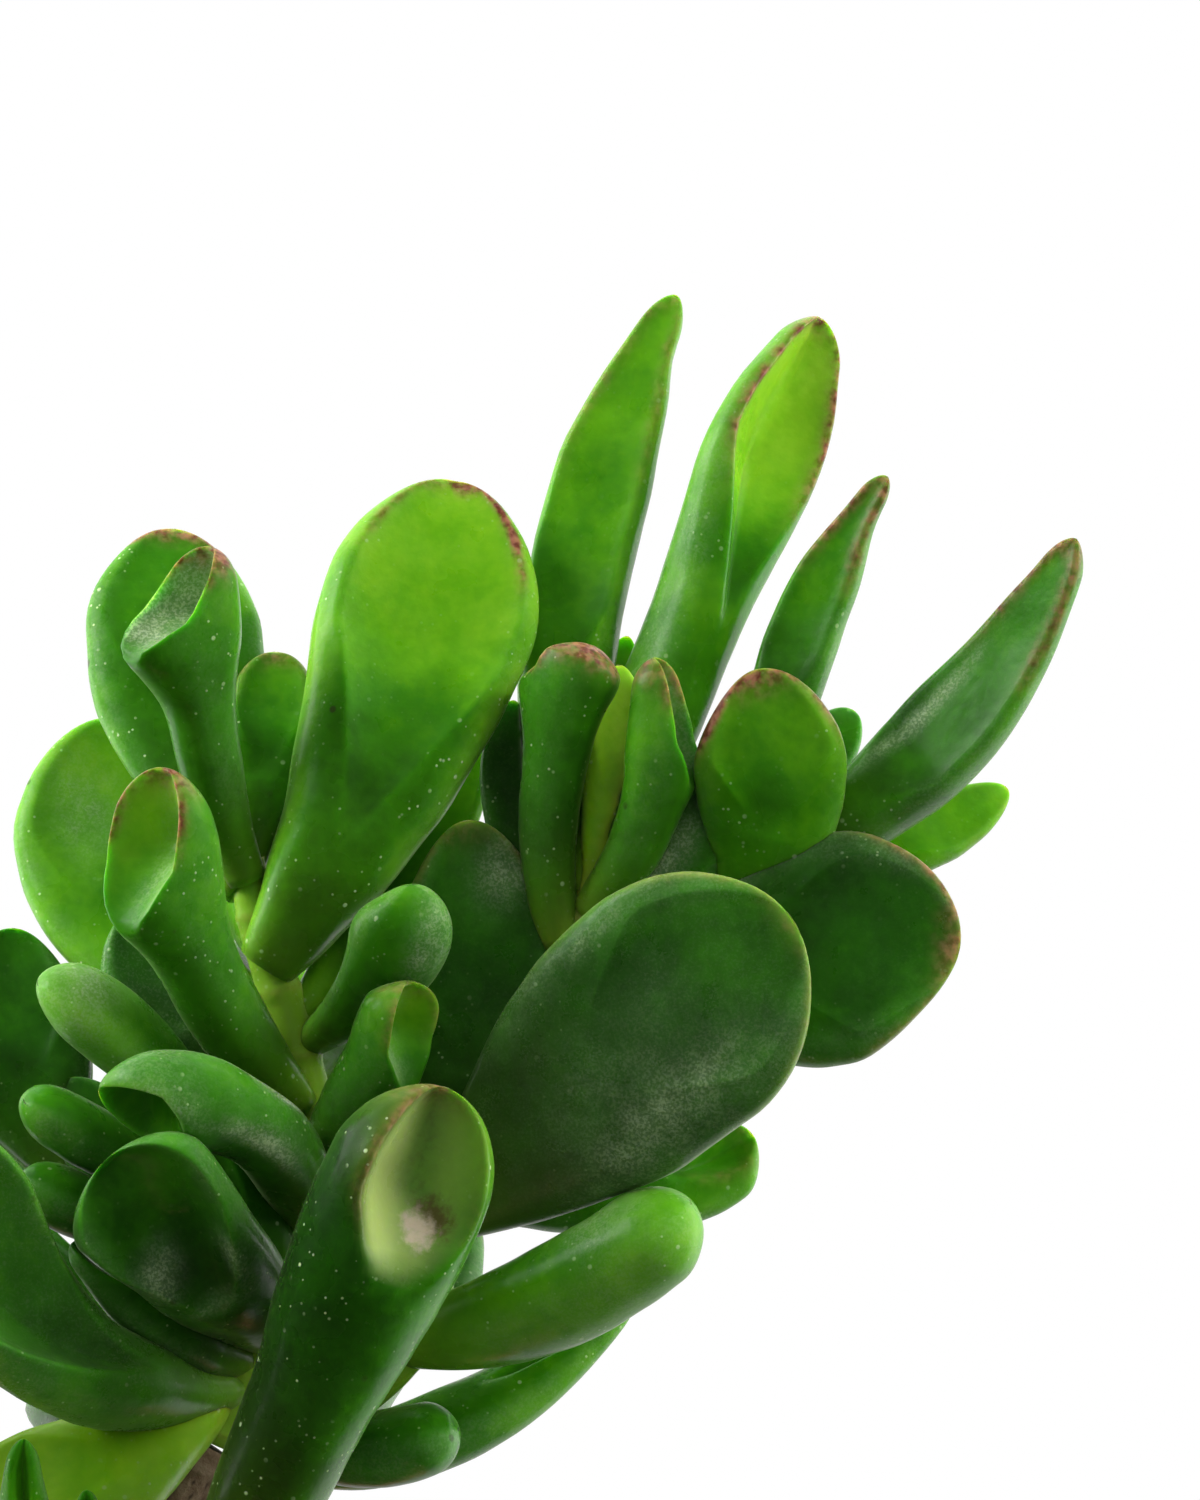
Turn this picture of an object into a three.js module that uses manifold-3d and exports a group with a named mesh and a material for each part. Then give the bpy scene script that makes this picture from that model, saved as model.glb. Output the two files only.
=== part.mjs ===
// A trumpet jade (Crassula ovata with finger and trumpet leaves) in a plain round pot.
// Millimetres, +Z up. The pot's underside is at Z = 0 and its axis is the Z axis.
// -Y is the plant's front.
import * as THREE from "three";
import Module from "manifold-3d";

const wasm = await Module();
wasm.setup();

// ---- driving dimensions -------------------------------------------------------------------------

const GAP = 0.3; // clearance wherever two pieces meet

const POT_HEIGHT = 70;
const POT_RIM_RADIUS = 50;
const POT_RIM_HEIGHT = 16;
const POT_FOOT_RADIUS = 34;
const POT_WALL = 5;
const POT_FLOOR = 6;
const POT_SIDES = 36;
const DRAIN_HOLES = 3;
const DRAIN_RADIUS = 3.5;
const DRAIN_CIRCLE = 17;

const SOIL_TOP = 62;
const SOIL_RINGS = 5;
const SOIL_BUMP = 0.9;

const TRUNK_FOOT = 38; // the lowest point of the trunk, sunk in the soil
const TRUNK_RADIUS = 6.6;
const TRUNK_SIDES = 8;

const STEM_SIDES = 6;
const WIDE_LEAF = 5; // from this half-width on, a leaf has more sides
const WIDE_LEAF_SIDES = 8;
const LEAF_SIDES = 6;
const THINNEST_WALL = 1.1;

// ---- leaf forms -----------------------------------------------------------------------------------

// Each form gives, along the leaf from root (0) to tip (1):
//   width, depth: shares of the leaf's own half-width and half-depth
//   end: where the tip starts to round off, box: 1 for an oval section, less for a squarer one
//   start: where the mouth opens on the upper face, mouth: its widest share of the leaf's width
//   near: how sharply the mouth opens, full: how far along it reaches full width
//   hollow: how deep it is, vee: 1 for a V-shaped channel, 0 for a rounded bowl
//   lip: how much further the upper side stands out where the mouth opens
//   round: over how many millimetres the mouth's edge is rounded
const FORMS = {
  spoon: {
    width: [[0, 0.28], [0.2, 0.52], [0.5, 0.84], [0.78, 1], [1, 0.86]],
    depth: [[0, 0.5], [0.2, 1], [0.5, 0.92], [0.8, 0.62], [1, 0.42]],
    end: 0.8, box: 0.85, start: 0.28, mouth: 0.86, near: 0.75, full: 0.55, hollow: 0.95, vee: 0.25,
  },
  paddle: {
    width: [[0, 0.26], [0.2, 0.55], [0.42, 0.92], [0.6, 1], [0.8, 0.94], [1, 0.8]],
    depth: [[0, 0.9], [0.2, 1], [0.5, 0.92], [0.8, 0.74], [1, 0.55]],
    end: 0.66, box: 0.8, start: 0.4, mouth: 0.8, near: 0.6, full: 0.5, hollow: 0.2, vee: 0,
  },
  finger: {
    width: [[0, 0.56], [0.25, 0.93], [0.5, 1], [0.65, 0.87], [0.8, 0.64], [1, 0.34]],
    depth: [[0, 0.6], [0.25, 0.95], [0.5, 1], [0.8, 0.62], [1, 0.34]],
    end: 0.93, box: 0.95, start: 0.62, mouth: 0.55, near: 0.9, full: 0.7, hollow: 0.55, vee: 0.8,
  },
  trumpet: {
    width: [[0, 0.5], [0.25, 0.78], [0.55, 0.86], [0.82, 1], [1, 0.9]],
    depth: [[0, 0.5], [0.25, 0.8], [0.55, 0.9], [0.8, 1], [1, 0.6]],
    end: 0.84, box: 0.95, start: 0.66, mouth: 0.84, near: 0.5, full: 0.5, hollow: 0.85, vee: 0.1,
  },
  bean: {
    width: [[0, 0.4], [0.2, 0.75], [0.5, 1], [0.8, 1], [1, 0.88]],
    depth: [[0, 0.5], [0.2, 0.85], [0.5, 1], [0.8, 0.95], [1, 0.8]],
    end: 0.7, box: 0.95, start: 0.985, mouth: 0.2, near: 1, full: 1, hollow: 0, vee: 0,
  },
};
const LIP_SPREAD = 0.16; // how far along the leaf a lip fades out

// ---- the leaves and stems, shoot by shoot ---------------------------------------------------------

// A leaf: form, root, middle and tip of its centre line, the way its upper face looks,
// half-width, half-depth and, where it differs, its own form values.
const FRONT_LEAVES = [
  // crown: broad spoon, back paddle, ear trumpet, small paddle
  ["spoon", [26.8, -0.5, 153.5], [38.9, -1, 176.7], [45.5, 7, 202.1], [0.1, -1, 0.15], 11, 6,
    { hollow: 0.32, vee: 0.1, round: 0.7, mouth: 0.82, width: [[0, 0.28], [0.2, 0.52], [0.5, 0.84],
      [0.74, 1], [0.87, 0.9], [1, 0.78]] }],
  ["paddle", [24.8, 0.8, 161], [17.9, 8, 180.8], [17.3, 16, 197.4], [0.05, -1, 0.25], 9, 3],
  ["trumpet", [24.8, -1, 162], [20.5, -5, 178], [21.5, -9, 195.1], [-0.72, -0.64, 0.3], 4.2, 3.7,
    { start: 0.72, lip: 1.5, end: 0.92, mouth: 0.88, near: 0.35, hollow: 0.8, full: 0.35, width: [[0,
      0.5], [0.25, 0.66], [0.55, 0.82], [0.72, 1], [0.85, 0.96], [1, 0.7]] }],
  ["paddle", [25, 0.8, 162.5], [26.6, 4, 174.5], [27.4, 8, 184.9], [0, -1, 0.2], 4.4, 2.2,
    { end: 0.8 }],
  // below the crown: leaning trumpet, wide paddles behind it
  ["trumpet", [29.8, -1, 139.3], [19.9, -9, 155], [17, -15, 173.2], [-0.66, -0.75, 0.1], 5.3, 4.6,
    { start: 0.66, lip: 0.9, mouth: 0.86, near: 0.35, full: 0.35, end: 0.88, width: [[0, 0.46], [0.25,
      0.66], [0.5, 0.76], [0.66, 0.9], [0.8, 1], [1, 0.85]] }],
  ["paddle", [28.4, 0.8, 147.5], [11.2, 12, 160.5], [11.2, 19, 178], [0.1, -1, 0.2], 8.6, 3],
  ["paddle", [29.3, 1, 147.5], [39.5, 7, 162.5], [47.4, 11, 177.7], [0, -1, 0.2], 5, 2.6],
  // right of the stem: finger and small trumpet
  ["bean", [30.4, 0.4, 145.5], [38.6, -6.5, 153.2], [41.3, -11.5, 161.6], [0.2, -1, 0.2], 5.1, 3.8,
    { end: 0.66, width: [[0, 0.3], [0.3, 0.62], [0.6, 0.95], [0.8, 1], [1, 0.88]] }],
  ["trumpet", [31.2, -0.8, 134], [37.6, -9, 143.3], [41.2, -13.5, 152], [0.8, -0.58, 0.1], 4.5, 3.9,
    { start: 0.54, full: 0.35, near: 0.35, mouth: 0.88, lip: 0.4 }],
  // left of the stem: hooked trumpet, round cup, grooved spoon and the leaves between them
  ["trumpet", [30.2, -1, 127], [25.6, -13, 138], [10.6, -18, 141.4], [-0.3, -0.55, -0.75], 5, 4.4,
    { start: 0.76, near: 0.35, full: 0.4, lip: 0.3 }],
  ["trumpet", [25.6, -1, 117.6], [20.5, -15, 124.8], [11.4, -21, 134.7], [-0.3, -1, 0.1], 8.2, 5.5,
    { start: 0.4 }],
  ["spoon", [22.8, -1, 111], [4.9, -17, 117.1], [-4.6, -24, 138.8], [0.35, -0.9, 0.45], 7.8, 5],
  ["bean", [20.6, 0, 137], [12.7, -5, 146.4], [4.2, -9, 152], [0.1, -0.6, 0.8], 4.4, 3.7],
  ["paddle", [21, 0.6, 136], [16.6, 2.5, 149], [12.6, 3, 158.6], [0, -0.8, 0.6], 5.4, 2.6],
  ["bean", [21, -1, 130], [9.7, -8, 136.3], [3.1, -13, 140.3], [0, -0.6, 0.8], 3.6, 3],
  ["bean", [23.6, -1.2, 125.2], [10, -9, 129.2], [3.3, -14, 133], [0, -0.6, 0.8], 3.6, 3],
  ["paddle", [9.4, 4.4, 129.6], [2, 8, 143], [1.2, 11, 157], [0, -1, 0.2], 7.2, 3],
  ["finger", [24.2, -1.2, 114.2], [16.1, -9, 119.1], [7.7, -12, 126.2], [0.2, -0.8, 0.5], 3.8, 3],
  ["paddle", [21.6, 0, 128], [13, 3, 133], [6.5, 5, 142], [0, -1, 0.2], 5, 2.6],
  ["finger", [26.8, -1, 119.6], [24.5, -5, 128], [19.6, -7, 136.5], [0.2, -0.9, 0.2], 4.6, 3.2],
  ["paddle", [22.4, -1.2, 111], [9.6, -8, 103], [-5, -10, 101.3], [0.1, -0.8, 0.6], 7, 3],
  // the far side of the stem
  ["trumpet", [30.8, 1, 141], [34, 14, 147], [35, 26, 158], [0, -0.7, 0.7], 4.6, 4.4],
  ["spoon", [26.6, 1, 155], [25, 14, 165], [24, 24, 179], [0, -0.9, 0.4], 6.5, 4.2],
  ["finger", [31.2, 1, 132], [28, 11, 137], [25, 19, 145], [0, -0.6, 0.8], 4, 3.4],
  ["paddle", [28, 1, 149], [18, 13, 153], [10, 24, 162], [0.3, -0.8, 0.5], 6.4, 2.8],
  ["trumpet", [29.6, 1, 126.5], [33, 13, 127], [34, 23, 133], [-0.4, -0.6, 0.8], 4.4, 4.2],
];
const FRONT_STEMS = [
  { path: [[20.2, 0, 106.3], [23.5, 0, 113], [27.5, 0, 122], [31.8, 0, 133], [30.5, 0, 141],
    [28.8, 0, 148], [26, 0, 157], [24.6, 0, 164]], radii: [3.3, 1.8] },
  { path: [[27, 0, 121], [22, -1, 128], [20.4, 0, 138]], radii: [2.4, 1.8] },
  { path: [[22, -1, 128], [14, 3, 127], [8.6, 5, 131]], radii: [2.2, 1.8] },
];

const RIGHT_LEAVES = [
  // crown: tall finger, channelled spoon and the leaves round them
  ["finger", [57.1, 1, 161], [57.6, 8, 191], [67.7, 13, 221], [-0.3, -0.95, 0], 5.3, 4,
    { start: 0.3, mouth: 0.86, near: 0.5, full: 0.25, hollow: 0.08, vee: 0, width: [[0, 0.5], [0.3,
      0.85], [0.55, 1], [0.7, 0.97], [0.76, 0.88], [0.83, 0.74], [0.91, 0.49], [1, 0.34]] }],
  ["spoon", [58.6, 0.8, 160.4], [70.3, 5, 190], [82.4, 11, 218.6], [0.65, -0.76, 0], 6.9, 4.8,
    { start: 0.48, vee: 0.6, end: 0.94, width: [[0, 0.45], [0.3, 0.58], [0.5, 0.68], [0.58, 0.8], [0.67,
      0.93], [0.75, 1], [0.84, 0.92], [0.92, 0.64], [1, 0.34]] }],
  ["paddle", [57.6, 1.2, 160], [59.8, 7, 173], [62.8, 11, 186.5], [0, -1, 0.2], 2.8, 1.8],
  ["paddle", [58.3, -0.4, 160], [61.2, -0.6, 172], [61.9, -0.5, 183.5], [0, -1, 0.2], 3.1, 1.8],
  ["trumpet", [56, -0.4, 155.6], [55.2, -3, 171], [59.4, -4, 185.4], [-0.8, 0.5, 0.35], 3.7, 4,
    { start: 0.8, lip: 0.7, end: 0.93, mouth: 0.88, full: 0.3, hollow: 0.9, width: [[0, 0.5], [0.25,
      0.7], [0.55, 0.78], [0.78, 0.86], [0.92, 1], [1, 0.9]], depth: [[0, 0.5], [0.25, 0.7], [0.55,
      0.8], [0.78, 0.9], [0.92, 1], [1, 0.6]] }],
  ["trumpet", [58.6, -1, 158.8], [65, -5, 169.6], [65.4, -7, 184.2], [0.9, -0.35, 0.3], 3.1, 3.4,
    { start: 0.6, lip: 0.35, end: 0.92, mouth: 0.8, full: 0.35, hollow: 0.8, width: [[0, 0.5], [0.25,
      0.8], [0.55, 0.92], [0.72, 1], [0.85, 0.8], [1, 0.5]] }],
  ["paddle", [56.4, 0.8, 157.5], [51.3, 3, 168], [51.4, 5, 180], [0, -1, 0.2], 2.9, 1.8],
  ["paddle", [58.4, -0.5, 157], [66.7, -2.4, 162.3], [70.9, -3.6, 173.2], [0, -1, 0.3], 4.3, 2],
  // side crown: fingers to the right, round paddle in front
  ["finger", [75, 0.8, 163], [80, 0, 185.2], [88.6, -3, 202.3], [-0.35, -0.9, 0.2], 3.8, 3.2,
    { start: 0.3, mouth: 0.86, near: 0.5, full: 0.25, hollow: 0.1, vee: 0, width: [[0, 0.6], [0.4,
      0.97], [0.5, 1], [0.61, 0.95], [0.7, 0.84], [0.86, 0.48], [1, 0.34]] }],
  ["finger", [75.6, 0, 162.5], [94.3, -3, 176.4], [107.2, -8, 196], [-0.45, -0.85, 0.3], 5.3, 4.2,
    { start: 0.25, mouth: 0.9, near: 0.5, full: 0.25, hollow: 0.04, vee: 0, width: [[0, 0.5], [0.31,
      0.85], [0.43, 0.98], [0.55, 1], [0.71, 0.84], [0.84, 0.62], [1, 0.3]] }],
  ["paddle", [75.2, 0.8, 163], [81, 5, 172.4], [85.6, 9, 179], [0, -1, 0.2], 3.1, 1.8],
  ["paddle", [75.4, 0.4, 161.8], [89.5, 4, 165.3], [101, 8, 171.2], [0, -1, 0.3], 3.6, 1.8],
  ["paddle", [73.4, -0.8, 157.4], [76.9, -5, 170], [75.2, -8, 182.9], [0.05, -1, 0.3], 7.6, 2.6,
    { hollow: 0.1 }],
  // big paddles
  ["paddle", [63.4, -0.3, 147.6], [80, -6, 154.6], [95.6, -10, 155], [0.1, -1, 0.25], 11.9, 3.2,
    { end: 0.62, hollow: 0.05 }],
  ["paddle", [45.8, -0.8, 128.4], [63.6, -13, 146], [79, -20, 158.2], [0.05, -1, 0.1], 12.9, 3.6,
    { end: 0.62, hollow: 0.03, width: [[0, 0.2], [0.12, 0.52], [0.35, 0.9], [0.55, 1], [0.8, 0.97], [1,
      0.86]] }],
  ["paddle", [45.6, -0.6, 129.4], [47.6, -0.4, 147], [46.8, -1.2, 168], [0.1, -1, 0.2], 8.6, 3,
    { end: 0.58, hollow: 0.03, width: [[0, 0.5], [0.25, 0.9], [0.58, 1], [0.8, 1], [1, 0.9]] }],
  // low on the stem, to the right
  ["bean", [40.8, -0.8, 116], [56.8, -7, 121.1], [68.9, -12, 130.3], [-0.5, -0.5, 0.8], 5.6, 5.4,
    { end: 0.82, width: [[0, 0.5], [0.3, 0.75], [0.6, 0.9], [0.82, 1], [1, 0.95]] }],
  ["finger", [46.8, 0.8, 131.5], [63, 6, 131], [75.3, 9, 136.4], [0, -1, 0.2], 5.3, 3.2,
    { end: 0.85, width: [[0, 0.5], [0.4, 0.85], [0.7, 1], [0.88, 0.9], [1, 0.6]] }],
  ["finger", [27.4, 2, 104], [46, 3, 107.6], [63.4, 6, 120.5], [0, -0.5, 1], 4.9, 3.4],
  ["bean", [29.4, 0.4, 105], [38, -5, 105.4], [45.9, -8, 107.7], [0, -0.5, 1], 4.7, 3.6,
    { end: 0.8 }],
  // the far side of the stem
  ["trumpet", [57.2, 1, 158], [60, 14, 165], [61, 25, 176], [0, -0.7, 0.7], 4.4, 4.2],
  ["spoon", [51, 1, 138], [55, 16, 142], [57, 28, 153], [0, -0.6, 0.8], 6.4, 4.2],
  ["finger", [68, 0.8, 151.5], [73, 14, 155], [76, 26, 165], [0, -0.6, 0.8], 4, 3.4],
  ["paddle", [40.6, 1, 116], [42, 13, 121], [43, 24, 133], [0, -0.6, 0.8], 6, 2.8],
  ["trumpet", [33, 1.6, 109], [36, 15, 111], [38, 27, 119], [0, -0.5, 0.9], 4.4, 4.2],
  ["paddle", [56.2, 1, 147], [65, 13, 148], [74, 24, 153], [-0.3, -0.6, 0.8], 6.2, 2.8],
  ["finger", [73.4, 1, 158], [80, 12, 160], [87, 20, 166], [-0.3, -0.6, 0.8], 3.8, 3.2],
  ["trumpet", [57.5, 1, 153], [59.5, 13, 155], [60, 24, 160], [0.1, -0.6, 0.8], 4.2, 4],
];
const RIGHT_STEMS = [
  { path: [[24, 2.4, 101], [31.8, 1, 108], [40, 0, 115], [44, 0, 125], [50.5, 0, 137],
    [57, 0, 148.5], [58.3, 0, 160]], radii: [3, 2] },
  { path: [[50.5, 0, 137], [60, 0, 145], [70, 0, 153], [75, 0, 163]], radii: [2.6, 2] },
];

const LOW_LEAVES = [
  // the big trumpet that leans forward, and the leaves at its foot
  ["trumpet", [21.6, -12, 89.6], [33.9, -21, 116.6], [45.1, -26, 141.9], [0.45, -0.88, 0.15], 8.4, 7.4,
    { start: 0.66, mouth: 0.73, near: 0.42, full: 0.38, end: 0.83, round: 2.4, hollow: 0.95, width: [[0,
      0.36], [0.2, 0.64], [0.4, 0.74], [0.55, 0.9], [0.7, 1], [0.85, 1], [1, 0.92]] }],
  ["finger", [11.8, -9, 81.6], [4.9, -18, 93.4], [3.5, -23, 107.4], [0, -1, 0.2], 3.6, 3],
  ["finger", [13.2, -9.6, 82.4], [10.6, -15, 93], [9.4, -18, 102.1], [0, -1, 0.2], 2.4, 2],
  ["spoon", [16, -10.8, 84.4], [8, -24, 87], [2, -35, 96], [0.3, 0.3, 1], 6, 4],
  ["trumpet", [21, -12, 87.6], [34, -20, 85], [45, -27, 91], [0, 0.2, 1], 4.4, 4.2],
  ["paddle", [18, -11.4, 85.6], [19, -25, 81], [22, -36, 84], [0, 0.3, 1], 6.4, 2.8],
];
const LOW_STEMS = [
  { path: [[10.2, -8.2, 80.2], [17, -11, 85], [24.6, -12.2, 92]], radii: [3, 2.4] },
];

// The shoots that face away are laid out by rule: opposite pairs, each pair a quarter turn
// from the one below, opening less and growing shorter towards the crown. "lowest" and "highest" are
// the leaf lengths at the foot and the crown, "open" and "closed" how far the leaves lean out there,
// "turn" the way the first pair points and "omit" the leaves left out to keep clear of other shoots.
const RULED_SHOOTS = {
  left_shoot: {
    path: [[-18.2, 2, 100.3], [-25, 1, 112], [-31, -1, 126], [-35, -3, 140]], radii: [3, 2],
    pairs: 8, first: 0.14, turn: 0.5, lowest: 34, highest: 25, open: 1.25, closed: 0.45,
    seed: 11, omit: [],
  },
  back_shoot: {
    path: [[12.2, 25.2, 99.8], [14, 35, 110], [15, 42, 123], [15, 46, 136]], radii: [3, 2],
    pairs: 7, first: 0.16, turn: 0.2, lowest: 33, highest: 25, open: 1.25, closed: 0.5,
    seed: 23, omit: [0, 1, 12],
  },
  left_back_shoot: {
    path: [[-13.2, 25.2, 90.3], [-18, 34, 99], [-22, 41, 110], [-24, 45, 121]], radii: [2.8, 2],
    pairs: 6, first: 0.18, turn: 0.9, lowest: 31, highest: 24, open: 1.25, closed: 0.5,
    seed: 37, omit: [1, 4],
  },
};

// Woody branches: they run from the trunk to where each green shoot starts.
const TRUNK_BRANCHES = [
  { path: [[0, 0, 58], [0.6, 0, 66], [4, 0, 79], [12, 0, 93], [20, 0, 106]], radii: [6.2, 3.7] },
  { path: [[10, 0, 89], [16.5, 1.6, 95.5], [23.8, 2.4, 100.8]], radii: [4, 3.2] },
  { path: [[2.6, 0, 74], [-6, 1.4, 86], [-18, 2, 99.9]], radii: [4.6, 3.2] },
  { path: [[4, 0, 79], [8, 12, 89], [12, 25, 99.6]], radii: [4.4, 3.2] },
  { path: [[-0.6, 1, 75], [-6.6, 13, 82], [-13, 24.9, 89.9]], radii: [3.8, 3] },
  { path: [[2, -1, 72], [5.5, -5.6, 76.2], [9.9, -8.1, 79.9]], radii: [4, 3.2] },
];

// ---- geometry helpers -----------------------------------------------------------------------------

const vec = (a) => new THREE.Vector3(a[0], a[1], a[2]);

// A smooth curve through [place, value] points.
function graded(points, t) {
  let i = 0;
  while (i < points.length - 2 && t > points[i + 1][0]) {
    i += 1;
  }
  const slope = (k) => (points[k + 1][1] - points[k][1]) / (points[k + 1][0] - points[k][0]);
  const last = points.length - 1;
  const tangent = (k) => {
    if (k === 0) {
      return slope(0);
    }
    if (k === last) {
      return slope(last - 1);
    }
    return (slope(k - 1) + slope(k)) / 2;
  };
  const h = points[i + 1][0] - points[i][0];
  const s = (t - points[i][0]) / h;
  const s2 = s * s;
  const s3 = s2 * s;
  return (2 * s3 - 3 * s2 + 1) * points[i][1] + (s3 - 2 * s2 + s) * h * tangent(i)
    + (3 * s2 - 2 * s3) * points[i + 1][1] + (s3 - s2) * h * tangent(i + 1);
}

// The smaller of two values, with the corner between them rounded over k.
function softMin(a, b, k) {
  const e = Math.max(k - Math.abs(a - b), 0);
  return Math.min(a, b) - (e * e) / (4 * k);
}

// One closed body from rings of points; the last ring may be a single tip point.
function skin(rings) {
  const points = [];
  const faces = [];
  const starts = rings.map((ring) => {
    const start = points.length;
    points.push(...ring);
    return start;
  });
  const n = rings[0].length;
  const fan = (start, flip) => {
    const centre = new THREE.Vector3();
    for (let j = 0; j < n; j += 1) {
      centre.add(points[start + j]);
    }
    points.push(centre.divideScalar(n));
    const c = points.length - 1;
    for (let j = 0; j < n; j += 1) {
      const a = start + j;
      const b = start + ((j + 1) % n);
      faces.push(flip ? [c, b, a] : [c, a, b]);
    }
  };
  for (let i = 0; i + 1 < rings.length; i += 1) {
    for (let j = 0; j < n; j += 1) {
      const a = starts[i] + j;
      const b = starts[i] + ((j + 1) % n);
      if (rings[i + 1].length === 1) {
        faces.push([a, b, starts[i + 1]]);
      } else {
        const c = starts[i + 1] + j;
        const d = starts[i + 1] + ((j + 1) % n);
        faces.push([a, b, c], [b, d, c]);
      }
    }
  }
  fan(starts[0], true);
  if (rings[rings.length - 1].length > 1) {
    fan(starts[rings.length - 1], false);
  }
  const positions = new Float32Array(points.length * 3);
  points.forEach((p, i) => positions.set([p.x, p.y, p.z], i * 3));
  const triangles = new Uint32Array(faces.flat());
  return new wasm.Manifold(new wasm.Mesh({ numProp: 3, vertProperties: positions, triVerts: triangles }));
}

function fuse(bodies) {
  return bodies.reduce((sum, body) => sum.add(body));
}

// ---- leaf -----------------------------------------------------------------------------------------

// The places along a leaf where it has a ring: at the root, where the mouth opens, where the tip
// starts to round off, and between them. A leaf without a mouth has them evenly up to its tip.
function leafPlaces({ start, end }) {
  if (start > end) {
    return [0, end / 3, (end * 2) / 3, end, end + (1 - end) * 0.45, end + (1 - end) * 0.8, 1];
  }
  return [0, start / 2, start, (start + end) / 2, end, end + (1 - end) * 0.72, 1];
}

function leafBody([formName, rootAt, middleAt, tipAt, faceWay, halfWidth, halfDepth, own = {}]) {
  const sides = halfWidth < WIDE_LEAF ? LEAF_SIDES : WIDE_LEAF_SIDES;
  const form = { ...FORMS[formName], ...own };
  const root = vec(rootAt);
  const middle = vec(middleAt);
  const tip = vec(tipAt);
  const bend = middle.clone().multiplyScalar(2).sub(root.clone().add(tip).multiplyScalar(0.5));
  const line = new THREE.QuadraticBezierCurve3(root, bend, tip);
  const rings = [];
  for (const t of leafPlaces(form)) {
    const centre = line.getPoint(t);
    if (t > 0.9999) {
      rings.push([tip.clone()]);
      break;
    }
    const along = line.getTangent(t).normalize();
    const up = vec(faceWay);
    up.addScaledVector(along, -up.dot(along)).normalize();
    const across = new THREE.Vector3().crossVectors(up, along);
    const over = Math.max(0, (t - form.end) / (1 - form.end));
    const rounding = Math.sqrt(Math.max(0, 1 - over * over));
    const width = graded(form.width, t) * halfWidth * rounding;
    const depth = graded(form.depth, t) * halfDepth * rounding;
    const opened = (t - form.start) / (1 - form.start);
    const s = Math.min(1, Math.max(0, opened));
    const mouth = Math.max(0.001, form.mouth * Math.min(1, s / form.full) ** form.near);
    const lip = 1 + (form.lip ?? 0) * Math.exp(-(((t - form.start - 0.04) / LIP_SPREAD) ** 2));
    const rim = depth * lip * (1 - Math.min(mouth, 0.999) ** (2 / form.box)) ** (form.box / 2);
    const hollow = form.hollow * halfDepth * lip * Math.min(1, s / 0.45) ** 0.8 * (1 - 0.75 * s ** 4);
    const ring = [];
    for (let j = 0; j < sides; j += 1) {
      const angle = (j / sides) * 2 * Math.PI;
      const u = Math.sign(Math.cos(angle)) * Math.abs(Math.cos(angle)) ** form.box;
      const under = depth * Math.abs(Math.sin(angle)) ** form.box;
      let height = -under;
      if (Math.sin(angle) > 0.001) {
        const q = Math.abs(u) / mouth;
        const bowl = form.vee * (1 - q) + (1 - form.vee) * (1 - q * q);
        const cut = rim - hollow * bowl + Math.max(0, -opened) * 8 * halfDepth;
        const lowest = -under + Math.min(THINNEST_WALL, depth * 0.9);
        const rounded = form.round ?? Math.min(1.2, 0.35 * halfDepth);
        height = softMin(under * lip, Math.max(cut, lowest), rounded);
      }
      ring.push(centre.clone().addScaledVector(across, u * width).addScaledVector(up, height));
    }
    rings.push(ring);
  }
  return skin(rings);
}

// ---- stems ----------------------------------------------------------------------------------------

// A round stem along a smooth path, thinning evenly from the first radius to the second.
function stemBody({ path, radii }, sides = STEM_SIDES, lump = 0) {
  const curve = new THREE.CatmullRomCurve3(path.map(vec), false, "catmullrom", 0.5);
  const steps = Math.max(3, (path.length - 1) * 2);
  const rings = [];
  for (let i = 0; i <= steps; i += 1) {
    const t = i / steps;
    const centre = curve.getPoint(t);
    const along = curve.getTangent(t).normalize();
    const side = new THREE.Vector3(0, 1, 0);
    side.addScaledVector(along, -side.dot(along)).normalize();
    const across = new THREE.Vector3().crossVectors(side, along);
    const radius = radii[0] + (radii[1] - radii[0]) * t;
    const ring = [];
    for (let j = 0; j < sides; j += 1) {
      const angle = (j / sides) * 2 * Math.PI;
      const r = radius * (1 + lump * Math.sin(3 * angle + 5 * t) * Math.sin(7 * t + 1));
      const point = centre.clone().addScaledVector(across, r * Math.cos(angle));
      ring.push(point.addScaledVector(side, r * Math.sin(angle)));
    }
    rings.push(ring);
  }
  return skin(rings);
}

// A repeatable stream of values from 0 to 1.
function dice(seed) {
  let state = seed;
  return () => {
    state = (state * 16807) % 2147483647;
    return state / 2147483647;
  };
}

// Half-width and half-depth of the leaves that the rule places.
const RULED_SIZES = { spoon: [6.4, 4.2], paddle: [7, 2.8], finger: [3.9, 3.4], trumpet: [4.6, 4.4] };
const RULED_ORDER = ["trumpet", "finger", "spoon", "paddle", "trumpet"];

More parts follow.
